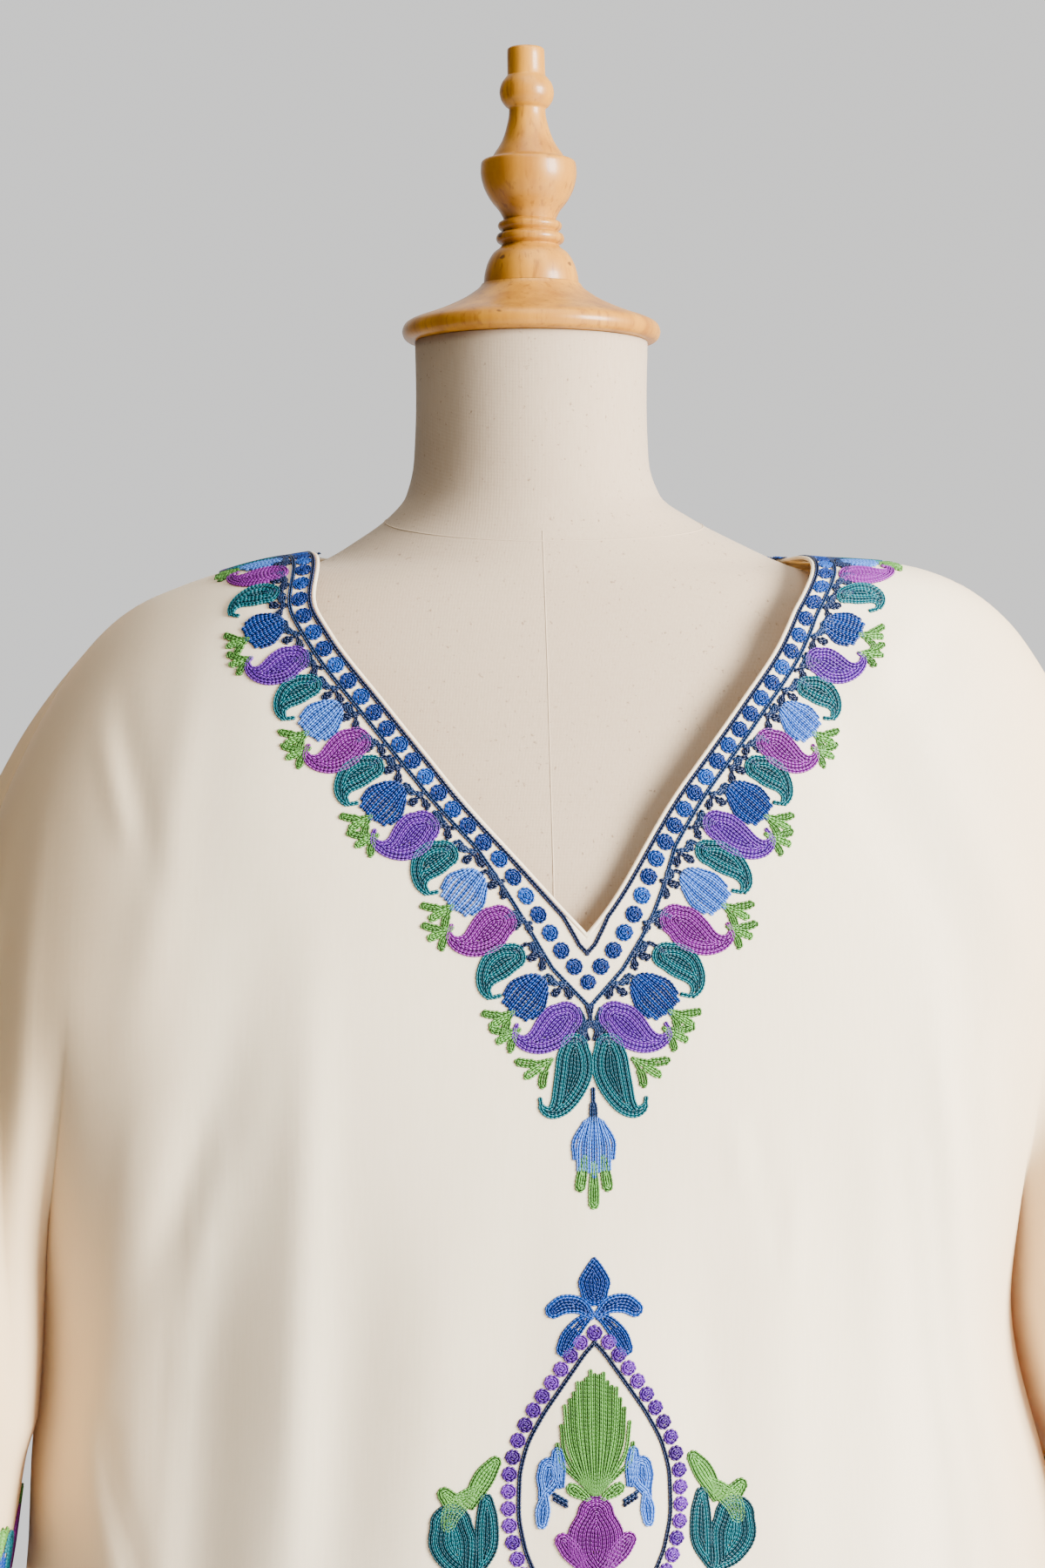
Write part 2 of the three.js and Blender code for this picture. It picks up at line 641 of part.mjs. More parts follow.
// A rolled binding that caps the cut edges of both panels. At a corner it is widened, so that its
// sides stay parallel to the edge.
function binding() {
  const edge = neckEdge();
  const round = 8;
  const points = [];
  const faces = [];
  edge.forEach(({ at, out, inside }, i) => {
    const before = at.clone().sub(edge[(i + edge.length - 1) % edge.length].at).normalize();
    const after = edge[(i + 1) % edge.length].at.clone().sub(at).normalize();
    const along = before.clone().add(after).normalize();
    const widen = 1 / along.dot(after);
    const down = along.clone().cross(out).normalize();
    if (down.dot(inside) < 0) down.negate();
    const up = along.clone().cross(down).normalize();
    if (up.dot(out) < 0) up.negate();
    const middle = at.clone();
    middle.addScaledVector(down, -(BINDING_WIDTH / 2 + SEAM_GAP) * widen);
    middle.addScaledVector(up, WALL / 2);
    for (let k = 0; k < round; k += 1) {
      const angle = (k * 2 * Math.PI) / round;
      const p = middle.clone();
      p.addScaledVector(down, (BINDING_WIDTH / 2) * Math.cos(angle) * widen);
      p.addScaledVector(up, (BINDING_THICK / 2) * Math.sin(angle));
      points.push(p.toArray());
      const here = i * round;
      const ahead = ((i + 1) % edge.length) * round;
      const turn = (k + 1) % round;
      faces.push([here + k, ahead + k, ahead + turn], [here + k, ahead + turn, here + turn]);
    }
  });
  return geometryOf(points, faces);
}

// ---- the form and its stand ---------------------------------------------------------------

// A closed solid from rings of points, each ring one above the next, with its ends capped.
function loft(rings) {
  const round = rings[0].length;
  const points = rings.flat();
  const faces = [];
  for (let j = 0; j + 1 < rings.length; j += 1) {
    for (let k = 0; k < round; k += 1) {
      const a = j * round + k;
      const b = j * round + ((k + 1) % round);
      faces.push([a, b, b + round], [a, b + round, a + round]);
    }
  }
  for (const [ring, first] of [[rings[0], 0], [rings.at(-1), points.length - round]]) {
    const centre = points.length;
    const sum = ring.reduce((total, p) => total.map((value, i) => value + p[i]), [0, 0, 0]);
    points.push(sum.map((value) => value / round));
    for (let k = 0; k < round; k += 1) {
      const a = first + k;
      const b = first + ((k + 1) % round);
      faces.push(first === 0 ? [centre, b, a] : [centre, a, b]);
    }
  }
  return geometryOf(points, faces);
}

// The torso: rounded sections from the hips to the neck.
function torso() {
  const round = 28;
  const rings = TORSO.slice().reverse().map((level) => {
    const ring = [];
    for (let k = 0; k < round; k += 1) {
      const angle = (k * 2 * Math.PI) / round;
      const side = Math.cos(angle);
      const ahead = Math.sin(angle);
      const reach = side < 0 ? level.right : level.left;
      const x = reach * Math.sign(side) * Math.abs(side) ** (2 / level.power);
      const depth = ahead < 0 ? level.front : level.back;
      const y = depth * Math.sign(ahead) * Math.abs(ahead) ** (2 / level.power);
      ring.push(placed(x, y, level.z));
    }
    return ring;
  });
  return loft(rings);
}

// A point of the form moved to where the form stands.
function placed(x, y, z) {
  const c = Math.cos(FORM_TURN);
  const s = Math.sin(FORM_TURN);
  return [FORM_X + x * c - y * s, x * s + y * c, z];
}

// A turned piece: rows of radius and height, from the foot to the top.
function turned(rows, round) {
  return loft(
    rows.map((row) => {
      const ring = [];
      for (let k = 0; k < round; k += 1) {
        const angle = (k * 2 * Math.PI) / round;
        ring.push([FORM_X + row.r * Math.cos(angle), row.r * Math.sin(angle), row.z]);
      }
      return ring;
    }),
  );
}

const POLE = [
  { z: BASE_HEIGHT + SEAM_GAP, r: 34 },
  { z: BASE_HEIGHT + 5, r: 34 },
  { z: BASE_HEIGHT + 9, r: 30 },
  { z: BASE_HEIGHT + 18, r: 19 },
  { z: BASE_HEIGHT + 30, r: POLE_RADIUS },
  { z: 788 - SEAM_GAP, r: POLE_RADIUS },
];

const BASE = [
  { z: 0, r: BASE_RADIUS - 4 },
  { z: 4, r: BASE_RADIUS },
  { z: BASE_HEIGHT - 9, r: BASE_RADIUS },
  { z: BASE_HEIGHT - 2, r: BASE_RADIUS - 8 },
  { z: BASE_HEIGHT, r: BASE_RADIUS - 18 },
];

// ---- the object ---------------------------------------------------------------------------

const MATERIALS = {
  cotton: new THREE.MeshStandardMaterial({ color: 0xede3d3, roughness: 0.85 }),
  calico: new THREE.MeshStandardMaterial({ color: 0xcfc2b0, roughness: 0.9 }),
  wood: new THREE.MeshStandardMaterial({ color: 0xc58a4a, roughness: 0.4 }),
};

const group = new THREE.Group();
group.name = "kaftan_on_a_dress_form";

function add(name, geometry, material) {
  const mesh = new THREE.Mesh(geometry, material.clone());
  mesh.name = name;
  group.add(mesh);
}

add("front_panel", clothPanel("front"), MATERIALS.cotton);
add("back_panel", clothPanel("back"), MATERIALS.cotton);
add("neck_binding", binding(), MATERIALS.cotton);
add("form_torso", torso(), MATERIALS.calico);
add("neck_cap", turned(CAP, 36), MATERIALS.wood);
add("finial", turned(FINIAL, 20), MATERIALS.wood);
add("stand_pole", turned(POLE, 20), MATERIALS.wood);
add("stand_base", turned(BASE, 40), MATERIALS.wood);

export default group;
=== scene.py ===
# %% [markdown]
# # A kaftan on a dress form
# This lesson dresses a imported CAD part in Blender. The cloth, the form and the wood are worked out from
# short tables of sizes, and the chain stitch is laid on the cloth with Geometry Nodes. Every cell that makes
# something prints it, so that a mistake shows early.

import math

import bpy
import numpy as np
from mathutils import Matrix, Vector


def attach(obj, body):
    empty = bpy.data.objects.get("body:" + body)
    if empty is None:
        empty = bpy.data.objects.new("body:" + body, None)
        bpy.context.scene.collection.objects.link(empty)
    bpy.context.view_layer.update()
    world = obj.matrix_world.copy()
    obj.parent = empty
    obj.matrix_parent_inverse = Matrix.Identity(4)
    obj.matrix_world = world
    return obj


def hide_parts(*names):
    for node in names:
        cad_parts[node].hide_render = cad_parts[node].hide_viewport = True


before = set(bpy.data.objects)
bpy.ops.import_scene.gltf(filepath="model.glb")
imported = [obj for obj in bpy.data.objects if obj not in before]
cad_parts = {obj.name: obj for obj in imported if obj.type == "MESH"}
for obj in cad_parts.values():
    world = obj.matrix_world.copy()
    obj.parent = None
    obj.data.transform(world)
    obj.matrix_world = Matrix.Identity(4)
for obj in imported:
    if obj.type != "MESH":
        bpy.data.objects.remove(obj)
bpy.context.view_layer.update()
print("frame nodes:", ", ".join(sorted(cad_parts)))

# %% [markdown]
# ## The sizes
# The tables hold what a pattern cutter would write down, in millimetres. A row is a height, and a column
# is a size at that height. Only the last step of each shape turns millimetres into metres.

# %% Sizes of the kaftan
HEM, UNDERARM = 88.0, 1010.0
SHOULDER_SPAN, NECK_CORNER = 229.0, 121.0
PARTING_TOP, SQUARENESS, SEAM_FORWARD = 1215.0, 2.3, 6.0
CUFF_INSIDE, CUFF_OUTSIDE = 915.0, 868.0
CLOTH = 1.0


def table(names, rows):
    """Turns rows of numbers into one array for each named column, sorted by the first column."""
    values = np.array(sorted(rows), dtype=float)
    return dict(zip(names.split(), values.T))


# The outline from the front: the shoulder seam, and then the overarm seam.
OUTLINE = table("z x", [
    (1441, 0), (1434, 60), (1421, 121), (1416, 150), (1409, 180), (1397, 206), (1375, 229),
    (1331, 255), (1288, 272), (1235, 285), (1180, 295), (1085, 305), (1010, 309)])
SHOULDER = table("x z", [(x, z) for z, x in zip(OUTLINE["z"], OUTLINE["x"])])
# The neck opening: half width of the V at each height, and the back neck seen from above.
NECK_FRONT = table("z x", [
    (1242, 0), (1257, 13.5), (1285, 36), (1317, 61), (1348, 85), (1378, 107), (1400, 117.5),
    (1421, 121)])
NECK_BACK = table("y x", [(0, 121), (20, 118), (47, 105), (68, 80), (79, 40), (82, 0)])
# The body: half width to its edge, depth in front and behind.
BODY = table("z edge front back", [
    (1441, 229, 72, 76), (1421, 229, 78, 84), (1409, 229, 83, 90), (1397, 229, 89, 95),
    (1375, 229, 97, 101), (1331, 232, 110, 106), (1290, 235, 121, 109), (1250, 238, 128, 110),
    (1180, 240, 132, 111), (1073, 242, 134, 113), (1010, 246, 136, 116), (944, 254, 138, 119),
    (700, 282, 142, 127), (400, 311, 147, 135), (88, 333, 153, 142)])
# The sleeve tube: its two seams, how far it swells in front and behind, and outwards at the back.
SLEEVE = table("z over under front back swell", [
    (1375, 229, 229, 60, 70, 0), (1331, 255, 232, 64, 78, 7), (1235, 285, 238, 70, 88, 13),
    (1085, 305, 242, 74, 96, 13), (1010, 309, 246, 76, 98, 12), (986, 312, 253, 77, 98, 12),
    (944, 319, 263, 78, 99, 11), (915, 324, 269, 79, 100, 10), (850, 332, 281, 83, 102, 8)])


def by_panel(names, rows):
    """Gives each panel's rows of numbers the names of the columns."""
    return {panel: [dict(zip(names.split(), row)) for row in own] for panel, own in rows.items()}


# The big folds: from a top to a bottom height, from one share of the half width to another.
FOLDS = by_panel("top bottom start end width depth", {
    "front": [
        (1180, 88, -0.6, -0.53, 0.06, 9), (1120, 88, -0.7, -0.69, 0.05, -9),
        (1220, 88, -0.84, -0.83, 0.07, 12), (900, 88, -0.22, -0.2, 0.09, -13),
        (820, 88, 0.04, 0.02, 0.11, 10), (960, 88, 0.27, 0.26, 0.08, -11),
        (1190, 88, 0.55, 0.51, 0.07, 11), (1150, 88, 0.68, 0.7, 0.05, -8),
        (1230, 88, 0.84, 0.86, 0.06, 10)],
    "back": [
        (1270, 88, -0.78, -0.8, 0.07, 12), (1180, 88, -0.58, -0.6, 0.07, -13),
        (1240, 88, -0.36, -0.34, 0.09, 13), (1120, 88, -0.1, -0.08, 0.08, -12),
        (1260, 88, 0.12, 0.17, 0.09, 14), (1150, 88, 0.42, 0.41, 0.07, -12),
        (1250, 88, 0.63, 0.62, 0.07, 12), (1100, 88, 0.83, 0.8, 0.06, -10)]})
# The small creases: soft ridges and troughs of a few millimetres, from one point to another.
CREASES = by_panel("x0 z0 x1 z1 width depth", {
    "front": [
        (178, 1388, 145, 1352, 9, 1.6), (190, 1380, 160, 1335, 8, -1.4), (-226, 1340, -208, 1285, 7, 1.6),
        (-212, 1350, -200, 1270, 8, -1.4), (66, 1152, 70, 1124, 4, 0.9), (78, 1150, 82, 1108, 4, -0.8),
        (96, 1118, 94, 1076, 4, 0.9), (88, 1126, 86, 1088, 4, -0.7), (-150, 1190, -182, 1070, 14, 2.2),
        (-170, 1160, -214, 1050, 12, -2.4), (-196, 1120, -226, 1000, 9, 2.0),
        (205, 1180, 226, 1060, 9, 1.6), (-228, 1010, -214, 930, 6, 2.4), (-216, 1000, -204, 915, 5, -2.0),
        (-129, 1190, -137, 957, 11, 3.4), (-160, 1200, -187, 957, 19, -4.8),
        (-70, 1080, -84, 930, 16, 1.6), (-104, 1090, -118, 930, 14, -1.8),
        (-30, 1110, -34, 930, 16, -1.4), (12, 1060, 14, 930, 15, 1.2), (52, 1080, 58, 930, 14, -1.6),
        (86, 1110, 96, 930, 15, 1.6), (120, 1130, 136, 930, 14, -1.8), (150, 1372, 215, 1225, 12, 2.0),
        (132, 1340, 196, 1190, 13, -1.8), (172, 1180, 208, 960, 10, 2.4), (150, 1150, 178, 940, 12, -2.0),
        (-176, 1350, -206, 1210, 11, 1.8)],
    "back": [
        (90, 1370, 130, 1280, 14, 2.2), (-95, 1365, -140, 1270, 14, 2.4),
        (-40, 1330, -60, 1200, 12, -1.8), (30, 1320, 55, 1180, 12, 1.8),
        (-190, 1200, -215, 1080, 11, 2.2), (185, 1210, 215, 1070, 11, -2.2)]})
# The pressed lines: the cloth rises slowly to each and drops quickly past it.
PRESSES = by_panel("x0 z0 x1 z1 depth", {
    "front": [
        (-166, 1190, -194, 957, 2.8), (-206, 1180, -226, 957, 2.0), (150, 1190, 187, 965, 2.6),
        (170, 1200, 200, 1060, 1.8)],
    "back": [
        (-150, 1130, -184, 900, 1.8), (155, 1140, 190, 900, 1.8)]})
PRESS_RISE, PRESS_DROP = 15, 4
for label, rows in (("folds", FOLDS), ("creases", CREASES), ("pressed lines", PRESSES)):
    print(label + ":", len(rows["front"]), "in front and", len(rows["back"]), "behind")

# %% [markdown]
# ## Reading a table smoothly
# Between two rows a cubic curve keeps the shape smooth, and its slope is level at every peak, so that it
# never swings past the sizes in the table.

# %% Curves through the tables


def read(rows, key, column, value):
    """The value of one column where another column has the given values."""
    k, v = rows[key], rows[column]
    step = np.diff(k)
    steep = np.diff(v) / step
    product = steep[:-1] * steep[1:]
    total = np.where(product > 0, steep[:-1] + steep[1:], 1)
    inner = np.where(product > 0, 2 * product / total, 0)
    slope = np.concatenate([steep[:1], inner, steep[-1:]])
    q = np.clip(value, k[0], k[-1])
    i = np.clip(np.searchsorted(k, q, side="right") - 1, 0, len(k) - 2)
    t = (q - k[i]) / step[i]
    from_slope, to_slope = slope[i] * step[i], slope[i + 1] * step[i]
    start = v[i] * (1 + 2 * t) * (1 - t) ** 2 + from_slope * t * (1 - t) ** 2
    return start + v[i + 1] * t * t * (3 - 2 * t) - to_slope * t * t * (1 - t)


def ease(start, end, value):
    """0 before the start, 1 past the end, and a soft step between."""
    t = np.clip((value - start) / (end - start), 0, 1)
    return t * t * (3 - 2 * t)


print("half width at the underarm:", float(read(BODY, "z", "edge", UNDERARM)), "mm")

# %% [markdown]
# ## The surface of the cloth
# One function gives the point of a panel at a distance from the middle and a height. High up a single
# curve spans the body and the sleeve. Towards the underarm the two draw apart, as cloth does there.

# %% The body's surface


def relief(panel, x, z):
    """How far the small creases and pressed lines lift the cloth."""
    out = 0.5 * np.sin(x / 31 + 1.3 * np.sin(z / 97)) * np.sin(z / 58 + 0.7 * np.sin(x / 43))
    for crease in CREASES[panel]:
        dx, dz = crease["x1"] - crease["x0"], crease["z1"] - crease["z0"]
        long = math.hypot(dx, dz)
        along = ((x - crease["x0"]) * dx + (z - crease["z0"]) * dz) / long
        aside = ((x - crease["x0"]) * dz - (z - crease["z0"]) * dx) / long
        fade = ease(-0.35 * long, 0.3 * long, along) * ease(1.35 * long, 0.7 * long, along)
        out = out + crease["depth"] * fade * np.exp(-((aside / crease["width"]) ** 2))
    for press in PRESSES[panel]:
        down = (press["z0"] - z) / (press["z0"] - press["z1"])
        aside = x - press["x0"] - (press["x1"] - press["x0"]) * down
        outward = aside * math.copysign(1, press["x0"])
        shape = np.where(outward < 0, np.exp(outward / PRESS_RISE), np.exp(-outward / PRESS_DROP))
        out = out + press["depth"] * shape * ease(0, 0.35, down) * ease(7, 2, down)
    return out


def fold_depth(panel, share, z):
    """How far the big folds push a panel out."""
    out = 0.0
    for fold in FOLDS[panel]:
        down = np.clip((fold["top"] - z) / (fold["top"] - fold["bottom"]), 0, 1)
        away = (share - fold["start"] - (fold["end"] - fold["start"]) * down) / fold["width"]
        out = out + fold["depth"] * np.sin(down * math.pi / 2) * np.exp(-away * away)
    return out


def side_of(panel):
    """Which way a panel faces along the Y axis."""
    return -1 if panel == "front" else 1


def seam_y(z):
    """How far the shoulder seam lies from the middle plane: it comes a little forward high up."""
    return -SEAM_FORWARD * ease(1250, 1380, z)


def span_depth(panel, x, z):
    """The depth of the one curve that spans body and sleeve."""
    share = np.minimum(1, np.abs(x) / np.maximum(read(OUTLINE, "z", "x", z), 1e-6))
    return read(BODY, "z", panel, z) * (1 - share**SQUARENESS) ** (1 / SQUARENESS)


def body_point(panel, share, z):
    """A point of the body. Share is -1 at one edge of the body and 1 at the other."""
    share, z = np.broadcast_arrays(np.clip(share, -1, 1), z)
    x = read(BODY, "z", "edge", z) * share
    own = read(BODY, "z", panel, z) * (1 - share**2) ** (0.5 + 0.1 * ease(1010, 500, z))
    apart = ease(PARTING_TOP, UNDERARM, z)
    calm = ease(1, 0.9, np.abs(share))
    depth = own * apart + span_depth(panel, x, z) * (1 - apart)
    depth = depth + fold_depth(panel, share, z) * calm * ease(1375, 1240, z)
    top = read(SHOULDER, "x", "z", np.abs(share) * SHOULDER_SPAN)
    depth = depth + relief(panel, x, z) * calm * ease(3, 40, top - z)
    return np.stack([x, side_of(panel) * depth + seam_y(z), z], axis=-1)


def surface(panel, x, z):
    """The same by millimetres from the middle: the cloth as it was cut, before it settled."""
    return body_point(panel, x / read(BODY, "z", "edge", z), z)


# Round the tip of the V the cloth sags: where, how far round, how far aside and how far down.
TIP_HEIGHT, TIP_REACH, TIP_ASIDE, TIP_SAG = 1240, 46, 2.6, 2.5


def settled(panel, points):
    """How the hung cloth has settled. The upper part of the V leans over and its tip sags, the left
    shoulder (+X) sits higher and further out than the right, and below the arms the body draws in."""
    x, y, z = np.moveaxis(points, -1, 0)
    below = read(SHOULDER, "x", "z", np.minimum(SHOULDER_SPAN, np.abs(x))) - z
    near = ease(228, 130, np.abs(x)) * ease(0, 34, below)
    neck = -10 * near * ease(1240, 1310, z) if panel == "front" else 0
    tip = np.exp(-(x**2 + (z - TIP_HEIGHT) ** 2) / TIP_REACH**2) if panel == "front" else 0
    shoulder = 6 * ease(150, 229, x) * ease(1150, 1330, z)
    right = -14 * ease(140, 236, x) * ease(1240, 1190, z) * ease(950, 1065, z)
    left = -5 * ease(-140, -236, x) * ease(1180, 1080, z) * ease(930, 1000, z)
    up = (8 * ease(112, 190, x) - 3.5 * ease(-135, -190, x)) * ease(1230, 1360, z)
    across = neck + shoulder + right + left - TIP_ASIDE * tip
    return np.stack([x + across, y, z + up - TIP_SAG * tip], axis=-1)


def worn(panel, x, z):
    """A point of the cloth as it hangs, by where it lay before it settled."""
    return settled(panel, surface(panel, x, z))


print("front at the bust:", np.round(worn("front", np.array(60.0), np.array(1250.0)), 1))

# %% [markdown]
# ## The sleeve
# Each sleeve is cut in one with the two panels, so there is no seam round the armhole. It could be made as
# a tube of its own, but then the cloth would break where tube and body meet. Here both come from one
# outline, and the tube only parts from the body near the underarm.

# %% The sleeve's surface


def sleeve_point(panel, turn, z):
    """A point of the sleeve tube. Turn is 0 at the overarm seam and 1 at the underarm seam."""
    over, under = read(SLEEVE, "z", "over", z), read(SLEEVE, "z", "under", z)
    angle = turn * math.pi
    swell = read(SLEEVE, "z", "swell", z) if panel == "back" else 0
    x = (over + under) / 2 + (over - under) / 2 * np.cos(angle)
    x = x + 2 * swell * np.sin(angle) * np.maximum(0, np.cos(angle))
    depth = read(SLEEVE, "z", panel, z) * np.sin(angle)
    return np.stack([x, side_of(panel) * depth + seam_y(z), z + 0 * x], axis=-1)


def span_point(panel, turn, z, edge):
    """A point of the one curve that spans body and sleeve, from the overarm seam to the body."""
    reach = read(OUTLINE, "z", "x", z)
    start = np.arcsin(np.minimum(1, edge / reach))
    x = reach * np.sin(math.pi / 2 + (start - math.pi / 2) * turn)
    swell = read(SLEEVE, "z", "swell", z) if panel == "back" else 0
    out = 2 * swell * np.sin(turn * math.pi) * np.maximum(0, np.cos(turn * math.pi))
    depth = span_depth(panel, x, z)
    return np.stack([x + out, side_of(panel) * depth + seam_y(z), z + 0 * x], axis=-1)


# The sleeves' folds: a place round the half sleeve, its width, and how deep it is at the cuff. Each side
# has a phase of its own, so that the two sleeves differ.
SLEEVE_PHASE = {1: 0.4, -1: 2.1}
SLEEVE_FOLDS = table("turn width depth", [
    (0.14, 0.05, 2.5), (0.3, 0.07, -5.0), (0.47, 0.07, 6.0), (0.62, 0.06, -6.0), (0.8, 0.07, 5.0)])


def sleeve_fold(turn, z, phase):
    """How far the folds push the sleeve out. The phase sways them."""
    out = 0.0
    for place, width, depth in zip(*SLEEVE_FOLDS.values()):
        middle = place + 0.03 * np.sin(phase + z / 90)
        out = out + depth * np.exp(-(((turn - middle) / width) ** 2))
    return out * ease(1340, 1000, z) * ease(0, 0.12, turn) * ease(1, 0.88, turn)


def sleeve_grid(panel, edge_line, phase, columns, cuff_rows):
    """A half sleeve as rows of points. Its inner edge is the body's edge, and then the underarm seam."""
    turn = np.linspace(0, 1, columns + 1)
    rows = []
    for corner in edge_line:
        z = np.full_like(turn, corner[2])
        apart = float(ease(PARTING_TOP, UNDERARM, corner[2]))
        joined = span_point(panel, turn, z, corner[0])
        row = joined * (1 - apart) + sleeve_point(panel, turn, z) * apart
        row[:, 1] += side_of(panel) * sleeve_fold(turn, z, phase) * ease(1, 0.7, turn)
        row[-1] = corner
        rows.append(row)
    for j in range(1, cuff_rows + 1):
        z = cuff_line(turn, 1 - j / cuff_rows)
        row = sleeve_point(panel, turn, z)
        row[:, 1] += side_of(panel) * sleeve_fold(turn, z, phase)
        rows.append(row)
    return np.array(rows)


def cuff_line(turn, up):
    """The height of a row between the cuff (0) and the underarm (1)."""
    cuff = CUFF_OUTSIDE + (CUFF_INSIDE - CUFF_OUTSIDE) * turn
    return cuff + (UNDERARM - cuff) * up


print("cuff from", CUFF_OUTSIDE, "to", CUFF_INSIDE, "mm high")

# %% [markdown]
# ## Columns of cloth
# Each column of points starts at the neck edge or at the shoulder seam, runs over the shoulder and down to
# the underarm, and then on to the hem. Spreading the points evenly along it keeps the faces well shaped.

# %% Columns and grids


def run_along(line):
    """How far along a line each of its points lies."""
    return np.concatenate([[0], np.cumsum(np.linalg.norm(np.diff(line, axis=0), axis=1))])


def spread(line, steps):
    """Points at even distances along a line."""
    run = run_along(line)
    want = np.linspace(0, run[-1], steps + 1)
    return np.stack([np.interp(want, run, line[:, k]) for k in range(3)], axis=-1)


def neck_line(panel, fine=400):
    """The neck edge of one panel, from its middle to the neck corner."""
    t = 1 - (1 - np.linspace(0, 1, fine)) ** 2
    if panel == "front":
        z = NECK_FRONT["z"][0] + (NECK_FRONT["z"][-1] - NECK_FRONT["z"][0]) * t
        return surface("front", read(NECK_FRONT, "z", "x", z), z)
    y = NECK_BACK["y"][-1] * (1 - t)
    x = read(NECK_BACK, "y", "x", y)
    high = read(SHOULDER, "x", "z", x)
    low = high - 60
    for _ in range(40):
        z = (high + low) / 2
        before = surface("back", x, z)[..., 1] < y - SEAM_FORWARD
        high, low = np.where(before, z, high), np.where(before, low, z)
    return surface("back", x, (high + low) / 2)


def body_grid(panel, neck_columns, shoulder_columns, upper_rows, lower_rows):
    """The body of a panel as columns of points, from one edge to the other."""
    neck = spread(neck_line(panel), neck_columns)
    part = np.sin(np.arange(1, shoulder_columns + 1) / shoulder_columns * math.pi / 2)
    x = NECK_CORNER + (SHOULDER_SPAN - NECK_CORNER) * part**1.15
    seam = np.stack([x, seam_y(np.full_like(x, 1380)), read(SHOULDER, "x", "z", x)], axis=-1)
    tops = np.concatenate([neck, seam])
    shares = np.concatenate([np.linspace(0, 0.62, neck_columns + 1), 0.62 + 0.38 * part])
    down = np.linspace(0, 1, 700) ** 3
    below = UNDERARM - (UNDERARM - HEM) * np.arange(1, lower_rows + 1) / lower_rows
    halves = {}
    for side in (-1, 1):
        halves[side] = []
        for top, share in zip(tops, shares):
            z = top[2] - (top[2] - UNDERARM) * down
            edge = read(BODY, "z", "edge", z)
            drift = 1 - (1 - down) ** 4
            line = body_point(panel, side * (top[0] + (share * edge - top[0]) * drift) / edge, z)
            lower = body_point(panel, np.full_like(below, side * share), below)
            halves[side].append(np.concatenate([spread(line, upper_rows), lower]))
    return np.array(halves[-1][:0:-1] + halves[1])


def mirror(points):
    """The same points on the other side."""
    return points * np.array([-1, 1, 1])


print("the V is", round(float(run_along(neck_line("front"))[-1])), "mm long on each side")

# %% [markdown]
# ## From points to a mesh
# A sheet joins several grids that share their edges. The shared points are held once, so the cloth is one
# surface, and a Solidify modifier then gives it a real thickness outwards.

# %% Meshes


def new_object(name, points, faces, smooth=True):
    """Makes a mesh object from points in millimetres."""
    mesh = bpy.data.meshes.new(name)
    mesh.from_pydata((np.asarray(points) / 1000).tolist(), [], faces)
    mesh.validate()
    mesh.shade_smooth() if smooth else mesh.shade_flat()
    made = bpy.data.objects.new(name, mesh)
    bpy.context.collection.objects.link(made)
    return made


def grid_faces(rows, columns, start=0, wrap=False):
    """Four-cornered faces between the points of a grid."""
    faces = []
    for j in range(rows - 1):
        for k in range(columns if wrap else columns - 1):
            a, b = start + j * columns + k, start + j * columns + (k + 1) % columns
            faces.append((a, b, b + columns, a + columns))
    return faces


def sheet_object(name, grids):
    """Joins grids of points into one sheet. Each grid comes with a flag that turns its faces round."""
    points, faces, count = [], [], 0
    for rows, turned in grids:
        made = grid_faces(rows.shape[0], rows.shape[1], count)
        faces += [face[::-1] if turned else face for face in made]
        points.append(rows.reshape(-1, 3))
        count += rows.shape[0] * rows.shape[1]
    points = np.concatenate(points)
    keys = np.round(points * 200).astype(np.int64)
    _, first, back = np.unique(keys, axis=0, return_index=True, return_inverse=True)
    back = back.reshape(-1)
    welded = []
    for face in faces:
        corners = [int(back[i]) for i in face]
        kept = [c for i, c in enumerate(corners) if c != corners[i - 1]]
        if len(kept) > 2:
            welded.append(tuple(kept))
    return new_object(name, points[first], welded)


def solidify(piece, thickness):
    """Gives a sheet its thickness, outwards, and makes it part of the mesh."""
    shell = piece.modifiers.new("thickness", "SOLIDIFY")
    shell.thickness, shell.offset = thickness / 1000, 1
    shell.use_even_offset = False
    bake(piece)


def bake(piece):
    """Replaces a piece's mesh by what its modifiers make of it."""
    seen = piece.evaluated_get(bpy.context.evaluated_depsgraph_get())
    mesh = bpy.data.meshes.new_from_object(seen)
    piece.modifiers.clear()
    piece.data = mesh


# How many faces there are along each part, and how far a panel stays away from the seams' plane.
NECK_COLUMNS, SHOULDER_COLUMNS, UPPER_ROWS, LOWER_ROWS = 34, 26, 84, 70
SLEEVE_COLUMNS, CUFF_ROWS = 26, 24
SEAM_GAP = 0.12
panels = {}
for panel in ("front", "back"):
    body = body_grid(panel, NECK_COLUMNS, SHOULDER_COLUMNS, UPPER_ROWS, LOWER_ROWS)
    shift = np.array([0, side_of(panel) * SEAM_GAP, 0])
    upper = UPPER_ROWS + 1
    right = sleeve_grid(panel, body[-1][:upper], SLEEVE_PHASE[1], SLEEVE_COLUMNS, CUFF_ROWS)
    left = mirror(sleeve_grid(panel, mirror(body[0][:upper]), SLEEVE_PHASE[-1], SLEEVE_COLUMNS, CUFF_ROWS))
    front = panel == "front"
    grids = ((body, not front), (right, not front), (left, front))
    pieces = [(settled(panel, rows) + shift, flag) for rows, flag in grids]
    panels[panel] = sheet_object(panel + "_cloth", pieces)
    solidify(panels[panel], CLOTH)
    print(panel, "panel:", len(panels[panel].data.polygons), "faces")

# %% [markdown]
# ## The rolled neck binding
# A narrow roll of the same cloth caps the cut edge. It is a small round section carried along the neck
# edge, and at a sharp corner the section is widened so that its sides stay parallel to the edge.

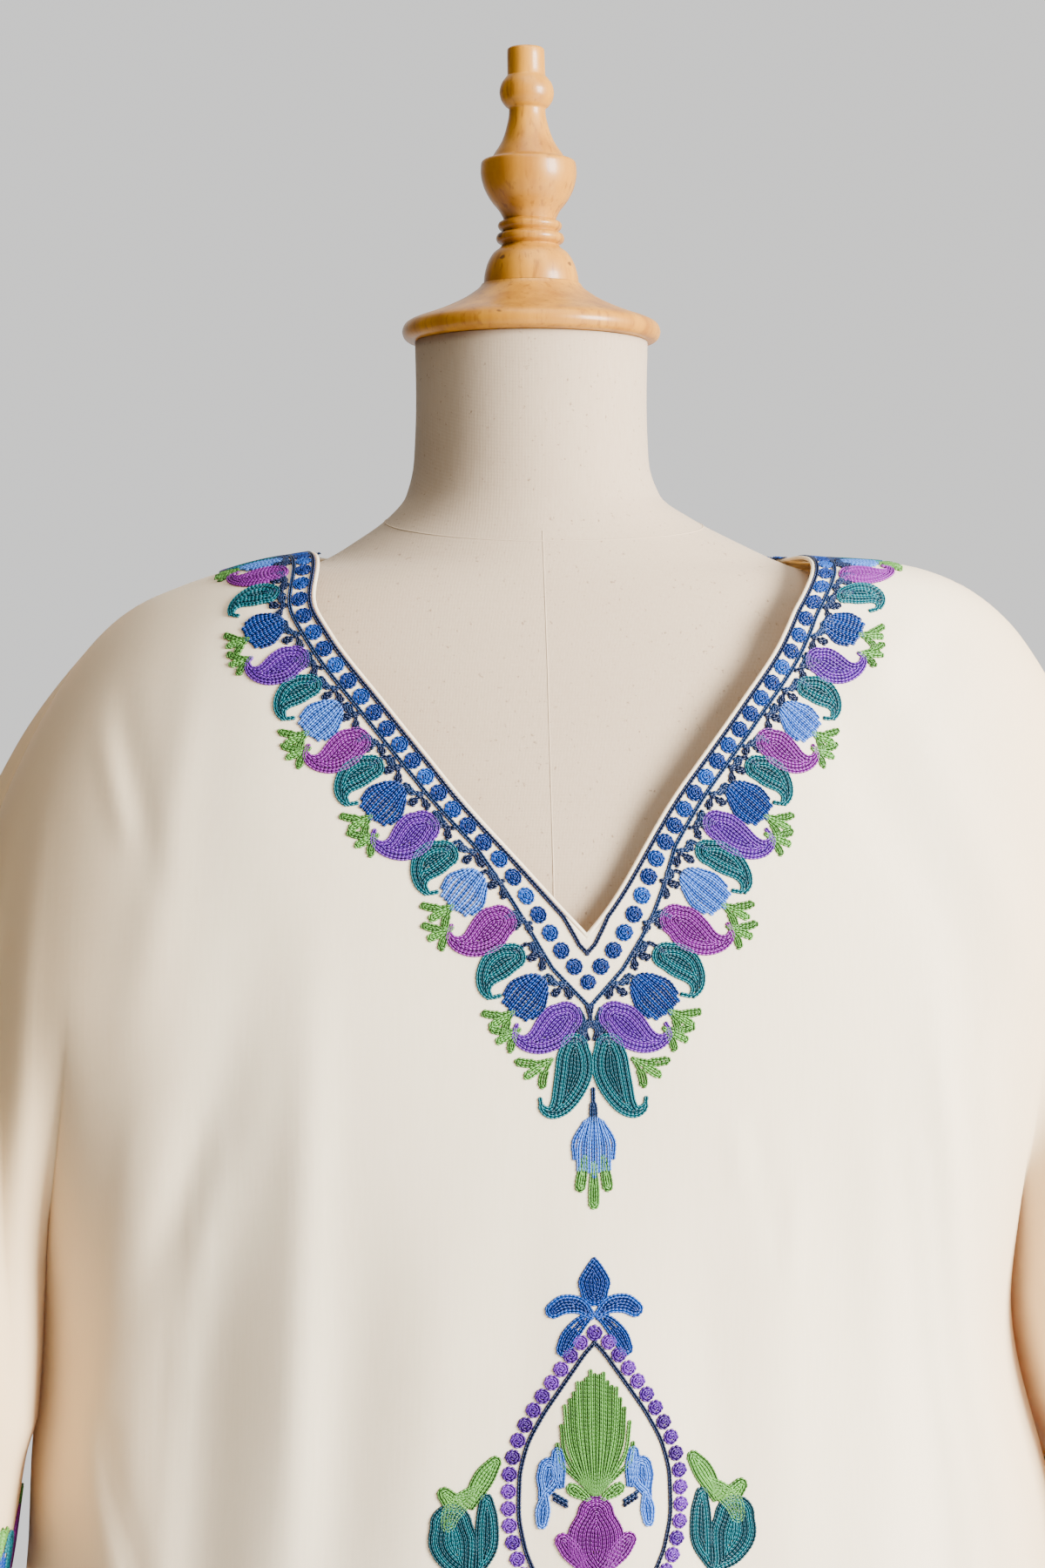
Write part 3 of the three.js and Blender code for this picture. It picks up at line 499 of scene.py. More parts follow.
# %% The binding


def sweep(line, outs, insides, half_width, half_height, offset, sink, corners, closed=True):
    """Carries a round section along a line. Outs point away from the cloth, insides towards it. The
    offset sets the section off to the side, and the sink lowers it into the cloth."""
    count = len(line)
    before = line - np.roll(line, 1, axis=0)
    after = np.roll(line, -1, axis=0) - line
    if not closed:
        before[0], after[-1] = after[0], before[-1]
    before /= np.linalg.norm(before, axis=1, keepdims=True)
    after /= np.linalg.norm(after, axis=1, keepdims=True)
    along = before + after
    along /= np.linalg.norm(along, axis=1, keepdims=True)
    widen = 1 / np.maximum(0.5, (along * after).sum(1, keepdims=True))
    down = np.cross(along, outs)
    down *= np.sign((down * insides).sum(1, keepdims=True))
    down /= np.linalg.norm(down, axis=1, keepdims=True)
    up = np.cross(along, down)
    up *= np.sign((up * outs).sum(1, keepdims=True))
    middle = line - down * (half_width + offset) * widen - up * sink
    angle = np.arange(corners) * 2 * math.pi / corners
    ring = middle[:, None] + down[:, None] * (np.cos(angle) * half_width)[None, :, None] * widen[:, None]
    ring = ring + up[:, None] * (np.sin(angle) * half_height)[None, :, None]
    faces = grid_faces(count + (1 if closed else 0), corners, wrap=True)
    faces = [tuple(i % (count * corners) for i in face) for face in faces]
    return ring.reshape(-1, 3), faces


def panel_normal(panel, x, z, step=0.5):
    """The direction straight out of the cloth."""
    here = worn(panel, x, z)
    below = worn(panel, x, z - step) - here
    beside = worn(panel, x - np.where(x > 0, step, -step), z) - here
    out = np.cross(below, beside)
    out /= np.linalg.norm(out, axis=-1, keepdims=True)
    return out * np.sign(out[..., 1:2] * side_of(panel))


def seam_normal(side, z, step=3.0):
    """The direction straight out of the shoulder seam."""
    run = read(OUTLINE, "z", "x", z - step) - read(OUTLINE, "z", "x", z + step)
    out = np.array([side * 2 * step, 0, float(run)])
    return out / np.linalg.norm(out)


def neck_ring(count):
    """The neck edge all the way round, with its outward and inward directions."""
    line, outs, insides = [], [], []
    for panel in ("front", "back"):
        half = spread(neck_line(panel, 2000), count)
        whole = np.concatenate([mirror(half[:0:-1]), half])
        whole = whole if panel == "front" else whole[::-1][1:-1]
        normal = panel_normal(panel, whole[:, 0], whole[:, 2])
        for p, n, place in zip(whole, normal, settled(panel, whole)):
            side = 1 if p[0] > 0 else -1
            blend = ease(NECK_CORNER - 3, NECK_CORNER, abs(p[0]))
            n = n * (1 - blend) + seam_normal(side, p[2]) * blend
            line.append(place)
            outs.append(n / np.linalg.norm(n))
            towards = (0.5 * side, -0.2, -1.0) if panel == "front" else (0.5 * side, 1.0, -0.3)
            insides.append((side, 0, 0) if blend > 0.5 else towards)
    return np.array(line), np.array(outs), np.array(insides, dtype=float)


# The roll's half width and half height, how far it laps over the edge, and how far it stands up.
ROLL_WIDE, ROLL_HIGH, ROLL_LAP, ROLL_STAND = 1.0, 0.95, 0.6, 0.6
points, faces = sweep(*neck_ring(90), ROLL_WIDE, ROLL_HIGH, -ROLL_LAP, -ROLL_STAND, 10)
binding = new_object("neck_binding_roll", points, faces)
print("binding:", len(faces), "faces")

# %% [markdown]
# ## The dress form and its wood
# The torso is a stack of rounded sections. The neck cap and the finial are turned: a profile carried round
# an axis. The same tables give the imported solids, only more finely here.

# %% The form
FORM_X, FORM_TURN = -9.0, math.radians(-3.4)
TORSO = table("z right left front back power", [
    (1528, 57.5, 57.5, 57.5, 57.5, 2), (1500, 57, 57, 57, 57, 2), (1470, 58, 58, 57, 58, 2),
    (1452, 62, 64, 57, 60, 2), (1441, 71, 80, 58, 63, 1.9), (1430, 86, 102, 61, 66, 1.8),
    (1418.5, 106, 128, 66, 71, 1.8), (1410, 138, 158, 69, 75, 1.9), (1400, 166, 181, 73, 80, 2),
    (1386, 190, 198, 78, 85, 2), (1365, 203, 205, 86, 91, 2.1), (1340, 200, 200, 93, 95, 2.2),
    (1305, 187, 187, 104, 97, 2.2), (1260, 169, 169, 116, 96, 2.2), (1215, 157, 157, 119, 92, 2.2),
    (1150, 138, 138, 105, 84, 2.2), (1060, 117, 117, 92, 82, 2.2), (980, 142, 142, 99, 98, 2.2),
    (900, 164, 164, 106, 108, 2.2), (845, 168, 168, 107, 110, 2.2), (808, 163, 163, 104, 106, 2.2),
    (794, 150, 150, 94, 97, 2.2), (788, 118, 118, 72, 74, 2.1)])
FINIAL = [
    (1557.3, 23.6), (1561, 23.2), (1567, 21.6), (1572.5, 18.4), (1575, 15.2), (1576.4, 14.2),
    (1577.8, 16.2), (1579.6, 16.9), (1581.6, 16.2), (1583, 13.9), (1584.4, 15.3), (1586, 15.9),
    (1587.6, 15.2), (1589, 13), (1593, 14.8), (1599, 19.4), (1606, 22.7), (1612, 23.8),
    (1617, 23.4), (1618.6, 21.4), (1619, 18.8), (1622, 16.6), (1628, 12.8), (1635, 10.4),
    (1641, 9.1), (1643.5, 9), (1645, 10.6), (1648.5, 12.9), (1652, 13.5), (1656, 12.6),
    (1659.4, 10.2), (1660.6, 9.4), (1672.8, 9.2), (1674, 8.2)]
CAP = [
    (1528.3, 57), (1528.6, 60.4), (1530.4, 63), (1533.4, 63.9), (1536.6, 62.8), (1538.6, 60.2),
    (1543.6, 46.5), (1550, 33), (1555.4, 25.6), (1557, 24.6)]
POLE = [(26.34, 34), (31, 34), (35, 30), (44, 19), (56, 16), (787.66, 16)]
BASE = [(0, 186), (4, 190), (17, 190), (24, 182), (26, 172)]


def form_point(angle, z):
    """A point of the torso. The angle is 0 on the +X side, and -90 degrees in front."""
    side, ahead = np.cos(angle), np.sin(angle)
    power = 2 / read(TORSO, "z", "power", z)
    depth = np.where(ahead < 0, read(TORSO, "z", "front", z), read(TORSO, "z", "back", z))
    reach = np.where(side < 0, read(TORSO, "z", "right", z), read(TORSO, "z", "left", z))
    x = reach * np.sign(side) * np.abs(side) ** power
    y = depth * np.sign(ahead) * np.abs(ahead) ** power
    c, s = math.cos(FORM_TURN), math.sin(FORM_TURN)
    return np.stack([FORM_X + x * c - y * s, x * s + y * c, z + 0 * x], axis=-1)


def lofted(name, rings):
    """A closed solid through rings of points, from the lowest up, with a fan on each end."""
    rows, columns = rings.shape[:2]
    faces = grid_faces(rows, columns, wrap=True)
    points = rings.reshape(-1, 3)
    faces.append(tuple(range(columns))[::-1])
    faces.append(tuple(range((rows - 1) * columns, rows * columns)))
    return new_object(name, points, faces)


FORM_COLUMNS = 112
angles = np.arange(FORM_COLUMNS) * 2 * math.pi / FORM_COLUMNS
levels = np.concatenate([np.linspace(788, 800, 7), np.linspace(806, 1360, 60),
                         np.linspace(1364, 1462, 50), np.linspace(1466, 1528, 14)])
rings = np.array([form_point(angles, np.full_like(angles, z)) for z in levels])
torso = lofted("form_torso_cover", rings)


def turned(name, profile, columns, fine=1, lean=0.0):
    """A turned solid. Fine adds points between those of the profile, on a smooth curve, and lean is
    how far it tilts to the side for each millimetre of height."""
    profile = np.array(profile, dtype=float)
    steps = np.arange(len(profile), dtype=float)
    wanted = np.linspace(0, len(profile) - 1, (len(profile) - 1) * fine + 1)
    curve = {"n": steps, "z": profile[:, 0], "r": profile[:, 1]}
    z, r = read(curve, "n", "z", wanted), read(curve, "n", "r", wanted)
    around = np.arange(columns) * 2 * math.pi / columns
    x = FORM_X + r[:, None] * np.cos(around) + lean * (z - z[0])[:, None]
    rows = np.stack([x, r[:, None] * np.sin(around), z[:, None] + 0 * x], axis=-1)
    made = lofted(name, rows)
    made.data.set_sharp_from_angle(angle=math.radians(50))
    return made


cap = turned("neck_cap_turned", CAP, 96, 3)
finial = turned("finial_turned", FINIAL, 72, 3, -0.024)
pole = turned("stand_pole_turned", POLE, 48, 2)
base = turned("stand_base_turned", BASE, 96, 2)
print("torso:", len(torso.data.polygons), "faces; finial:", len(finial.data.polygons))

# %% [markdown]
# ## The seams of the cover
# The cover is sewn down the middle of the front and of the back, and round the root of the neck. A seam
# could be only a line in the material. A thin cord half sunk in the cloth also catches the light, as the
# raised edge of a real seam does.

# %% The seams


def welt(name, line, radius, corners=6):
    """A thin cord along a line on the form, with an end on each side."""
    outs = line - np.array([FORM_X, 0, 0])
    outs[:, 2] = 0
    outs /= np.linalg.norm(outs, axis=1, keepdims=True)
    inside = np.cross(np.gradient(line, axis=0), outs)
    points, faces = sweep(line, outs, inside, radius, radius, -radius, radius * 0.45, corners, closed=False)
    last = len(line) * corners
    faces += [tuple(range(corners))[::-1], tuple(range(last - corners, last))]
    return new_object(name, points, faces)


z = np.linspace(1431, 1000, 160)
seams = [welt("form_" + name + "_seam", form_point(np.full_like(z, angle), z), 0.42)
         for name, angle in (("front", -math.pi / 2), ("back", math.pi / 2))]
around = np.linspace(0, 2 * math.pi, 161)
root = 1438 + 10 * np.sin(around) + 2 * np.cos(2 * around)
seams.append(welt("form_neck_seam", form_point(around, root), 0.45))
print("seams:", ", ".join(piece.name for piece in seams))

# %% [markdown]
# ## The embroidery: a flat chart of the cloth
# A design is drawn flat and then laid on the cloth. The chart unrolls a panel: it says what height is
# reached by so many millimetres of cloth, going up or down from a starting height.

# %% The chart
# How far apart rows and links lie, and how far apart the chart's columns are.
ROW, PITCH = 1.95, 1.8
COLUMN = 4.0
ACROSS, ALONG = np.arange(-232.0, 233.0, COLUMN), np.arange(-430.0, 330.0, 1.0)


def column_at(x):
    """The chart's column to the left of a place, and how far the place is on the way to the next."""
    i = np.clip(((x - ACROSS[0]) / COLUMN).astype(int), 0, len(ACROSS) - 2)
    return i, (x - ACROSS[i]) / COLUMN


def chart_of(panel, start):
    """A panel's chart, counted from a starting height: for each column the height at every millimetre."""
    heights, runs = [], []
    for x in ACROSS:
        top = read(SHOULDER, "x", "z", abs(x))
        z = top - (top - start + 450) * np.linspace(0, 1, 900) ** 2
        line = surface(panel, np.full_like(z, x), z)[:, 1:]
        run = run_along(line)
        v = np.interp(start, z[::-1], run[::-1]) - run
        heights.append(np.interp(ALONG, v[::-1], z[::-1], right=np.nan))
        runs.append((z[::-1], v[::-1]))
    return {"panel": panel, "heights": np.array(heights), "runs": runs}


def lay(chart, flat, lift):
    """Takes points of the flat chart to the cloth, with the direction straight out of it."""
    x, v = flat[:, 0], flat[:, 1]
    i, f = column_at(x)
    j = np.clip((v - ALONG[0]).astype(int), 0, len(ALONG) - 2)
    g, h = v - ALONG[j], chart["heights"]
    z = (h[i, j] * (1 - g) + h[i, j + 1] * g) * (1 - f) + (h[i + 1, j] * (1 - g) + h[i + 1, j + 1] * g) * f
    known = np.isfinite(z)
    z = np.where(known, z, 1000)
    points, out = worn(chart["panel"], x, z), panel_normal(chart["panel"], x, z)
    points = points + out * lift
    points[~known] = np.nan
    return points, out


def unroll(chart, points):
    """The flat chart's coordinates of points on the cloth."""
    flat = []
    for x, _, z in np.array(points, dtype=float):
        i, f = column_at(x)
        v = [np.interp(z, *chart["runs"][k]) for k in (i, i + 1)]
        flat.append((x, v[0] * (1 - f) + v[1] * f))
    return np.array(flat)


charts = {"front": chart_of("front", 1242), "back": chart_of("back", 1300)}
print("cloth above the V on each side:", round(float(unroll(charts["front"], [(121, 0, 1421)])[0, 1])), "mm")

# %% A band along an edge
# Along the neck edge a place is given by s, the distance from the middle, and d, the distance out from it.


def band_along(line, soft=14):
    """An edge with a point every millimetre and the direction along it, smoothed over a few of them."""
    run = run_along(line)
    s = np.arange(0, run[-1], 1.0)
    points = np.stack([np.interp(s, run, line[:, k]) for k in range(2)], axis=-1)
    wide = np.pad(np.gradient(points, axis=0), ((soft, soft), (0, 0)), mode="edge")
    share = np.ones(2 * soft + 1) / (2 * soft + 1)
    ahead = np.stack([np.convolve(wide[:, k], share, mode="valid") for k in range(2)], axis=-1)
    return s, points, ahead / np.linalg.norm(ahead, axis=1, keepdims=True)


def on_band(band, s, d):
    """The flat place of (s, d), with the directions along and out of the edge there."""
    stations, points, ahead = band
    s, d = np.broadcast_arrays(np.asarray(s, dtype=float), np.asarray(d, dtype=float))
    near = np.clip(s, 0, stations[-1])
    t = np.stack([np.interp(near, stations, ahead[:, k]) for k in range(2)], axis=-1)
    t /= np.linalg.norm(t, axis=-1, keepdims=True)
    out = np.stack([t[..., 1], -t[..., 0]], axis=-1)
    place = np.stack([np.interp(near, stations, points[:, k]) for k in range(2)], axis=-1)
    return place + t * (s - near)[..., None] + out * d[..., None], t, out


bands = {}
for panel in ("front", "back"):
    line = neck_line(panel)[::4]
    bands[panel] = band_along(unroll(charts[panel], line))
    print(panel, "neck edge:", round(float(bands[panel][0][-1])), "mm on each side")

# %% [markdown]
# ## Drawing with rows of chain stitch
# Every motif is a few rows of stitches. A shape is described by its spine and its half width, and is
# filled by rows that run one inside another, as the embroiderer's hook goes round and round.

# %% Rows


def curve(points, step=0.8):
    """A smooth line through points."""
    p = np.array(points, dtype=float)
    p = np.vstack([2 * p[0] - p[1], p, 2 * p[-1] - p[-2]])
    made = []
    for a, b, c, d in zip(p, p[1:], p[2:], p[3:]):
        n = max(2, int(np.linalg.norm((c - b)[:2]) / step))
        t = np.linspace(0, 1, n, endpoint=False)[:, None]
        made.append(0.5 * (2 * b + (c - a) * t + (2 * a - 5 * b + 4 * c - d) * t**2
                           + (3 * b - a - 3 * c + d) * t**3))
    return np.concatenate(made + [p[-2][None]])


# Rows may lie a little further apart than ROW before one more is added, and a row closes where it would
# be narrower than this share of a row.
ROW_SPARE, ROW_LEAST = 0.12, 0.36


def filled(spine_and_half, threads):
    """Rows that fill a shape, from its rim inwards. The first thread is the rim's, the last the core's.

    Each row goes round the shape inside the one before. Past the point where it closes, it runs on
    along the middle, as far as there is still cloth to cover. The rows lie just so far apart that they
    fill the widest place.
    """
    line = curve(spine_and_half)
    spine, half = line[:, :2], line[:, 2]
    pitch = half.max() / max(1, math.ceil(half.max() / ROW - ROW_SPARE))
    ahead = np.gradient(spine, axis=0)
    ahead /= np.linalg.norm(ahead, axis=1, keepdims=True)
    aside = np.stack([-ahead[:, 1], ahead[:, 0]], axis=-1)
    rows, k, least = [], 0, ROW_LEAST * pitch
    while True:
        reach = half - pitch * (k + 0.5)
        thread = threads[min(k, len(threads) - 1)]
        loop = np.flatnonzero(reach > least)
        bare = np.flatnonzero(half - pitch * k > least)
        if len(loop) < 3:
            if k and len(bare) > 2:
                rows.append((thread, spine[bare[0]:bare[-1] + 1]))
            break
        i, j = (bare if k else loop)[0], loop[-1] + 1
        reach = np.maximum(reach, least)
        turn = np.linspace(0, math.pi, max(4, int(reach[i] * 3)))[:, None]
        cap = spine[i] + reach[i] * (np.cos(turn) * aside[i] - np.sin(turn) * ahead[i])
        left = (spine[i:j] + aside[i:j] * reach[i:j, None])[::-1]
        right = spine[i:j] - aside[i:j] * reach[i:j, None]
        tail = spine[j:] if k == 0 else spine[j:bare[-1] + 1]
        rows.append((thread, np.concatenate([left, cap[1:-1], right, tail])))
        k += 1
    return rows


def leaf(base, tip, half, threads, bend=0.0):
    """A leaf, rounded at its tip, from a base."""
    base, tip = np.array(base, dtype=float), np.array(tip, dtype=float)
    along = tip - base
    side = np.array([-along[1], along[0]]) * bend
    inner = tip - along / np.linalg.norm(along) * half
    mid = base + along * 0.55 + side
    return filled([(*inner, half), (*mid, half * 1.02), (*base, half * 0.45)], threads)


def spiral(radius, thread):
    """A round dot: once round its rim, and then in to its middle."""
    angle = np.linspace(0, 2 * math.pi * (radius / ROW + 0.9), 60)
    reach = radius - ROW / 2 - ROW * np.maximum(0, angle / (2 * math.pi) - 0.8)
    keep = reach > 0.3
    return [(thread, np.stack([np.cos(angle) * reach, np.sin(angle) * reach], axis=-1)[keep])]


def across(points, share):
    """The place on a curve at a share of the way across it, counted along the second axis."""
    line = curve(points)
    line = line[np.argsort(line[:, 1])]
    y = line[0, 1] + (line[-1, 1] - line[0, 1]) * share
    return np.array([np.interp(y, line[:, 1], line[:, 0]), y])


def fan(bases, ends, rows, threads, belly, ripple):
    """Rows side by side from one curve to another, like the petals of a tulip. Belly is how far they
    bulge between, and ripple how unevenly they end."""
    made = []
    width = abs(ends[0][1] - ends[-1][1])
    for j in range(rows):
        share = j / (rows - 1)
        start, end = across(bases, share), across(ends, share)
        mid = (start + end) / 2 + np.array([0, width * (share - 0.5) * belly])
        end = end + (end - start) * (ripple / 20 if j % 3 == 1 else -ripple / 30)
        made.append((threads[j % len(threads)], curve([start, mid, end])))
    return made


print("a dot has", len(spiral(4.0, "royal")[0][1]), "points")

# %% [markdown]
# ## The motifs
# The real embroidery repeats a few motifs: dots, paisleys, tulips and sprigs of leaves. Each could be one
# raised shape, but then its rows of thread would not show. So each is a function that gives its rows, and
# the border stamps one after another along the edge.

# %% The motifs
# In a motif's own coordinates the first axis points out from the edge and the second towards the shoulder.
PAISLEY_TALL = [
    (-9, -2.4, 7.4), (-5, -2.0, 8.8), (1, -2.6, 8.8), (8, -2.0, 6.8), (13, 0.6, 4.4), (15.4, 4.6, 2.6),
    (14.6, 8.6, 1.5), (11.4, 10.2, 1.0)]
PAISLEY_SLIM = [
    (-8, 0.6, 6.2), (-3, 1.8, 7.5), (3, 1.8, 7.2), (9, 0, 5.0), (12.6, -3.6, 3.0), (12.6, -8, 1.6),
    (8.8, -10, 1.0)]


def paisley(name):
    """A paisley with a pale rim. The teal one is slimmer, and its tail turns the other way."""
    return filled(PAISLEY_SLIM if name == "teal" else PAISLEY_TALL, [name + "_light", name] * 2)


def tulip(name):
    """A tulip of nine rows, in two blues by turns."""
    threads = {"royal": ["royal", "blue"], "sky": ["sky", "sky_light"]}[name]
    bases = [(-5.6, 6.2), (-8.6, 3.4), (-9.6, 0), (-8.6, -3.4), (-5.6, -6.2)]
    ends = [(8.2, 8.8), (11.2, 5.4), (12.2, 0.6), (11.2, -4.2), (8.2, -8.2)]
    return fan(bases, ends, 9, threads, 0.22, 0.8)


def sprig(size):
    """Three green leaves."""
    made = leaf((0, 0), (13.3, 9), 2.0, ["green"], -0.06) + leaf((0.5, 0), (14.4, 1.2), 2.0, ["green_light"])
    made += leaf((0, 0), (11.6, -7), 2.0, ["green"], 0.06)
    return [(thread, rows * size) for thread, rows in made]


def navy_leaves():
    """Three small dark leaves for a stem."""
    made = leaf((0.4, 0), (7.2, 1.8), 2.0, ["navy"]) + leaf((0, 0.6), (1.6, 7.6), 1.9, ["slate"])
    return made + leaf((0, -0.6), (3.2, -7.0), 1.9, ["navy"])


print("a paisley has", len(paisley("violet")), "rows, a tulip", len(tulip("royal")))

# %% [markdown]
# ## The border's order
# Going up from the tip of the V, a purple paisley, a teal paisley and a tulip follow each other. Each rests
# on a dark stem, and green sprigs fill the outer side.

# %% The border
BLUES = ["royal", "royal", "blue", "royal", "sky_dark", "royal", "blue"]
ORDER = ["violet", "royal", "teal", "magenta", "sky", "teal"]
# For each kind of motif: how it is turned, its distance from the neck edge, and the top of its stem.
KINDS = {
    "tulip": {"turn": -8, "away": 28.5, "head": (1, 19.5)},
    "slim": {"turn": 4, "away": 32.5, "head": (1, 22.5)},
    "tall": {"turn": 0, "away": 32, "head": (-2.5, 20)}}
# The distance between motifs up the V and round the back, and how much smaller they get up the V.
STEP_FRONT, STEP_BACK, SHRINK = 16.9, 17.3, 0.16
# Near the tip the band is this much wider, from this far up.
TIP_WIDER, TIP_FROM = 10.5, 54
DOT_STEP, DOT_RADIUS = 9.5, 4.0
UPRIGHT = np.array([0, 1]), np.array([1, 0])
drawn = []


def draw(where, thread, flat):
    """Adds a row to a chart."""
    drawn.append((where, thread, flat))


def stamp(rows, place, along, out, where):
    """Puts a motif's rows at a flat place. Where names the chart they belong to."""
    for thread, row in rows:
        draw(where, thread, place + row[:, :1] * out + row[:, 1:2] * along)


def turned_by(rows, degrees, size=1.0):
    """A motif turned on its own middle, and resized."""
    c, s = math.cos(math.radians(degrees)), math.sin(math.radians(degrees))
    return [(thread, size * row @ np.array([[c, s], [-s, c]])) for thread, row in rows]


def kind_of(name):
    """The kind of motif that a thread colour stands for, and its rows."""
    if name in ("royal", "sky"):
        return "tulip", tulip(name)
    return "slim" if name == "teal" else "tall", paisley(name)


def border_lines(band, where, last, tip):
    """Two lines and, between them, a path of dots. At the tip all three run down to the centre line."""
    s = np.arange(0, last, 1.0)
    for offset, apex, ramp, thread in (
            (1.5, 7.4, 14, "navy"), (10.6, 33, 60, "slate"), (6.05, 20.5, 46, None)):
        d = offset + 0 * s
        if tip:
            d += (apex * abs(band[2][0][0]) - d) * np.maximum(0, 1 - s / ramp)
        path = on_band(band, s, d)[0]
        if tip:
            # The line starts on the centre line, and what would cross it is left out.
            path = np.vstack([[(0, -apex)], path[path[:, 0] > 0.6]])
        if thread:
            draw(where, thread, path)
            continue
        run = run_along(path)
        for k, at in enumerate(np.arange(9.2 if tip else 5.0, run[-1], DOT_STEP)):
            place = np.array([np.interp(at, run, path[:, i]) for i in (0, 1)])
            stamp(spiral(DOT_RADIUS, BLUES[k % len(BLUES)]), place, *UPRIGHT, where)


def border(band, where, first, last, tip):
    """One side of the border, and its mirror image. Tip says that the lines meet in a point below the V."""
    start = len(drawn)
    border_lines(band, where, last, tip)
    at, k = first, 0
    while at < last:
        size = 1 - SHRINK * float(ease(30, 220, at)) if tip else 1.0
        wider = TIP_WIDER * float(ease(TIP_FROM, 0, max(at, 0.0))) if tip else 0.0

        def put(rows, s, d, wider=wider):
            stamp(rows, *on_band(band, s, d + wider), where)

        kind, rows = kind_of(ORDER[k % len(ORDER)])
        put(turned_by(rows, KINDS[kind]["turn"], size), at, KINDS[kind]["away"] * size)
        if kind == "tulip":
            put(turned_by(sprig(0.95), 4, size), at - 1, 40.5 * size)
        elif kind == "tall":
            put(turned_by(sprig(0.9), 8, size), at + (9.0 if k % 2 else 8.0) * size, 44 * size)
        # A motif that lies past the centre line has no stem of its own.
        if at > -10:
            beside, high = KINDS[kind]["head"]
            s, d = at + beside, high + wider
            stem = curve([(s - 8.5, 12.4 + wider), (s - 5, 15.4 + wider), (s - 1, 15 + wider), (s, d)])
            draw(where, "slate" if k % 2 else "navy", on_band(band, stem[:, 0], stem[:, 1])[0])
            put(turned_by(navy_leaves(), -16 if k % 2 else 12), at - 7.6, 13.8)
        at += STEP_FRONT * size if tip else STEP_BACK
        k += 1
    for name, thread, flat in drawn[start:]:
        draw(name, thread, flat * np.array([-1, 1]))
    if tip:
        stamp(spiral(3.8, "royal"), np.array([0, -21.0]), *UPRIGHT, where)


border(bands["front"], "front", -18.0, bands["front"][0][-1] + 2, True)
border(bands["back"], "back", 8.0, bands["back"][0][-1] + 2, False)
print("rows in the borders:", len(drawn))

# %% [markdown]
# ## The group below the V, and the medallion
# These stand on the centre line, so each half is drawn once and mirrored. Places are millimetres across
# from the centre line and up from the tip of the V.

# %% The centre


def both_sides(rows, x, v, turn=0.0):
    """Stamps a motif on the right, with its first axis up, and its mirror image on the left."""
    for side in (1, -1):
        for thread, row in turned_by(rows, turn):
            draw("front", thread, np.stack([x - row[:, 1], v + row[:, 0]], axis=-1) * np.array([side, 1]))


def centre(rows, v=0):
    """Stamps a motif on the centre line, with its first axis up."""
    for thread, row in rows:
        draw("front", thread, np.stack([-row[:, 1], v + row[:, 0]], axis=-1))


def both_filled(shapes):
    """Filled shapes on both sides, each with a place, its threads, and its spine with half widths."""
    for x, v, threads, spine in shapes:
        both_sides(filled(spine, threads), x, v)


GREENS, PALE_GREENS = ["green", "green_light"], ["green_light", "green"]
TEAL_DROP = [
    (10, 1, 6.6), (5, 0.8, 8.2), (-2, 0.2, 8.6), (-10, -2.4, 7.4), (-17, -6, 5.2), (-20.4, -10.5, 3.0),
    (-18.6, -14.6, 1.7), (-14.4, -15.6, 1.1)]
both_filled([(9.0, -62, ["teal_light", "teal"] * 2, TEAL_DROP)])
centre(leaf((-72, 0), (-88, 0), 1.9, ["slate"]))
centre(fan([(-87.5, 4.4), (-85.4, 0), (-87.5, -4.4)],
           [(-104, 9.2), (-109, 5.4), (-110.5, 0), (-109, -5.4), (-104, -9.2)],
           9, ["sky", "sky_light"], 0.26, 1.1))
centre(leaf((-106, 0), (-127, 0), 2.1, PALE_GREENS))
both_sides(leaf((0, 0), (-16, -2.6), 2.1, GREENS), 4.2, -103)
both_sides(sprig(1.1), 19, -58, -128)
both_sides(navy_leaves(), 3.4, -46, -60)
both_sides([("slate", curve([(0, 0), (-5, 2.0), (-10, 0.5), (-16, 1.5)])),
            ("navy", curve([(1, 4), (-5, 5), (-10, 2.6), (-14, 3.5)]))], 5, -34)

# The star flower over the medallion.
ROYALS = ["blue", "royal", "royal"]
centre(filled([(-165, 0, 6.4), (-160, 0, 7.4), (-154, 0, 4.2), (-150, 0, 1.2)], ROYALS))
both_filled([
    (1, -174, ["sky_dark", "royal"], [(1, -17.8, 3.6), (3.6, -13, 4.2), (3, -6, 3.6), (-2, 0, 1.6)]),
    (1, -175, ROYALS, [(-16, -13.5, 3.3), (-10, -10.5, 4.0), (-4, -5.5, 3.2), (0, 0, 1.4)])])

# The drop: a line, with a ring of spirals inside it.
DROP = table("v x", [
    (-188, 0), (-193, 4.5), (-200, 9.5), (-210, 16.5), (-222, 24.5), (-236, 31.5), (-250, 34.6),
    (-264, 35), (-280, 32.5), (-296, 26), (-310, 17.5), (-321, 8.5), (-326, 0)])
PURPLES = ["violet_light", "violet", "violet_light", "violet_light", "violet", "violet", "plum", "violet",
           "plum", "violet", "violet_light", "violet_light"]
RING_STEP, RING_IN, RING_RADIUS = 7.35, 4.9, 3.6
fall = np.linspace(-188.0, -326.0, 400)
drop = np.stack([read(DROP, "v", "x", fall), fall], axis=-1)
for side in (1, -1):
    draw("front", "navy", drop * np.array([side, 1]))
drop_band = band_along(drop)
for k, at in enumerate(np.arange(4.0, drop_band[0][-1] - 2, RING_STEP)):
    place = on_band(drop_band, at, -RING_IN)[0]
    for side in (1, -1):
        for thread, row in spiral(RING_RADIUS, PURPLES[k % len(PURPLES)]):
            draw("front", thread, (place + row) * np.array([side, 1]))
for v in (-183.5, -331):
    centre(spiral(3.7, "violet"), v)
centre(leaf((-336, 0), (-352, 0), 3.4, ROYALS))
both_sides(leaf((0, 0), (-12, -9), 3.0, ["blue", "royal"]), 2, -336)

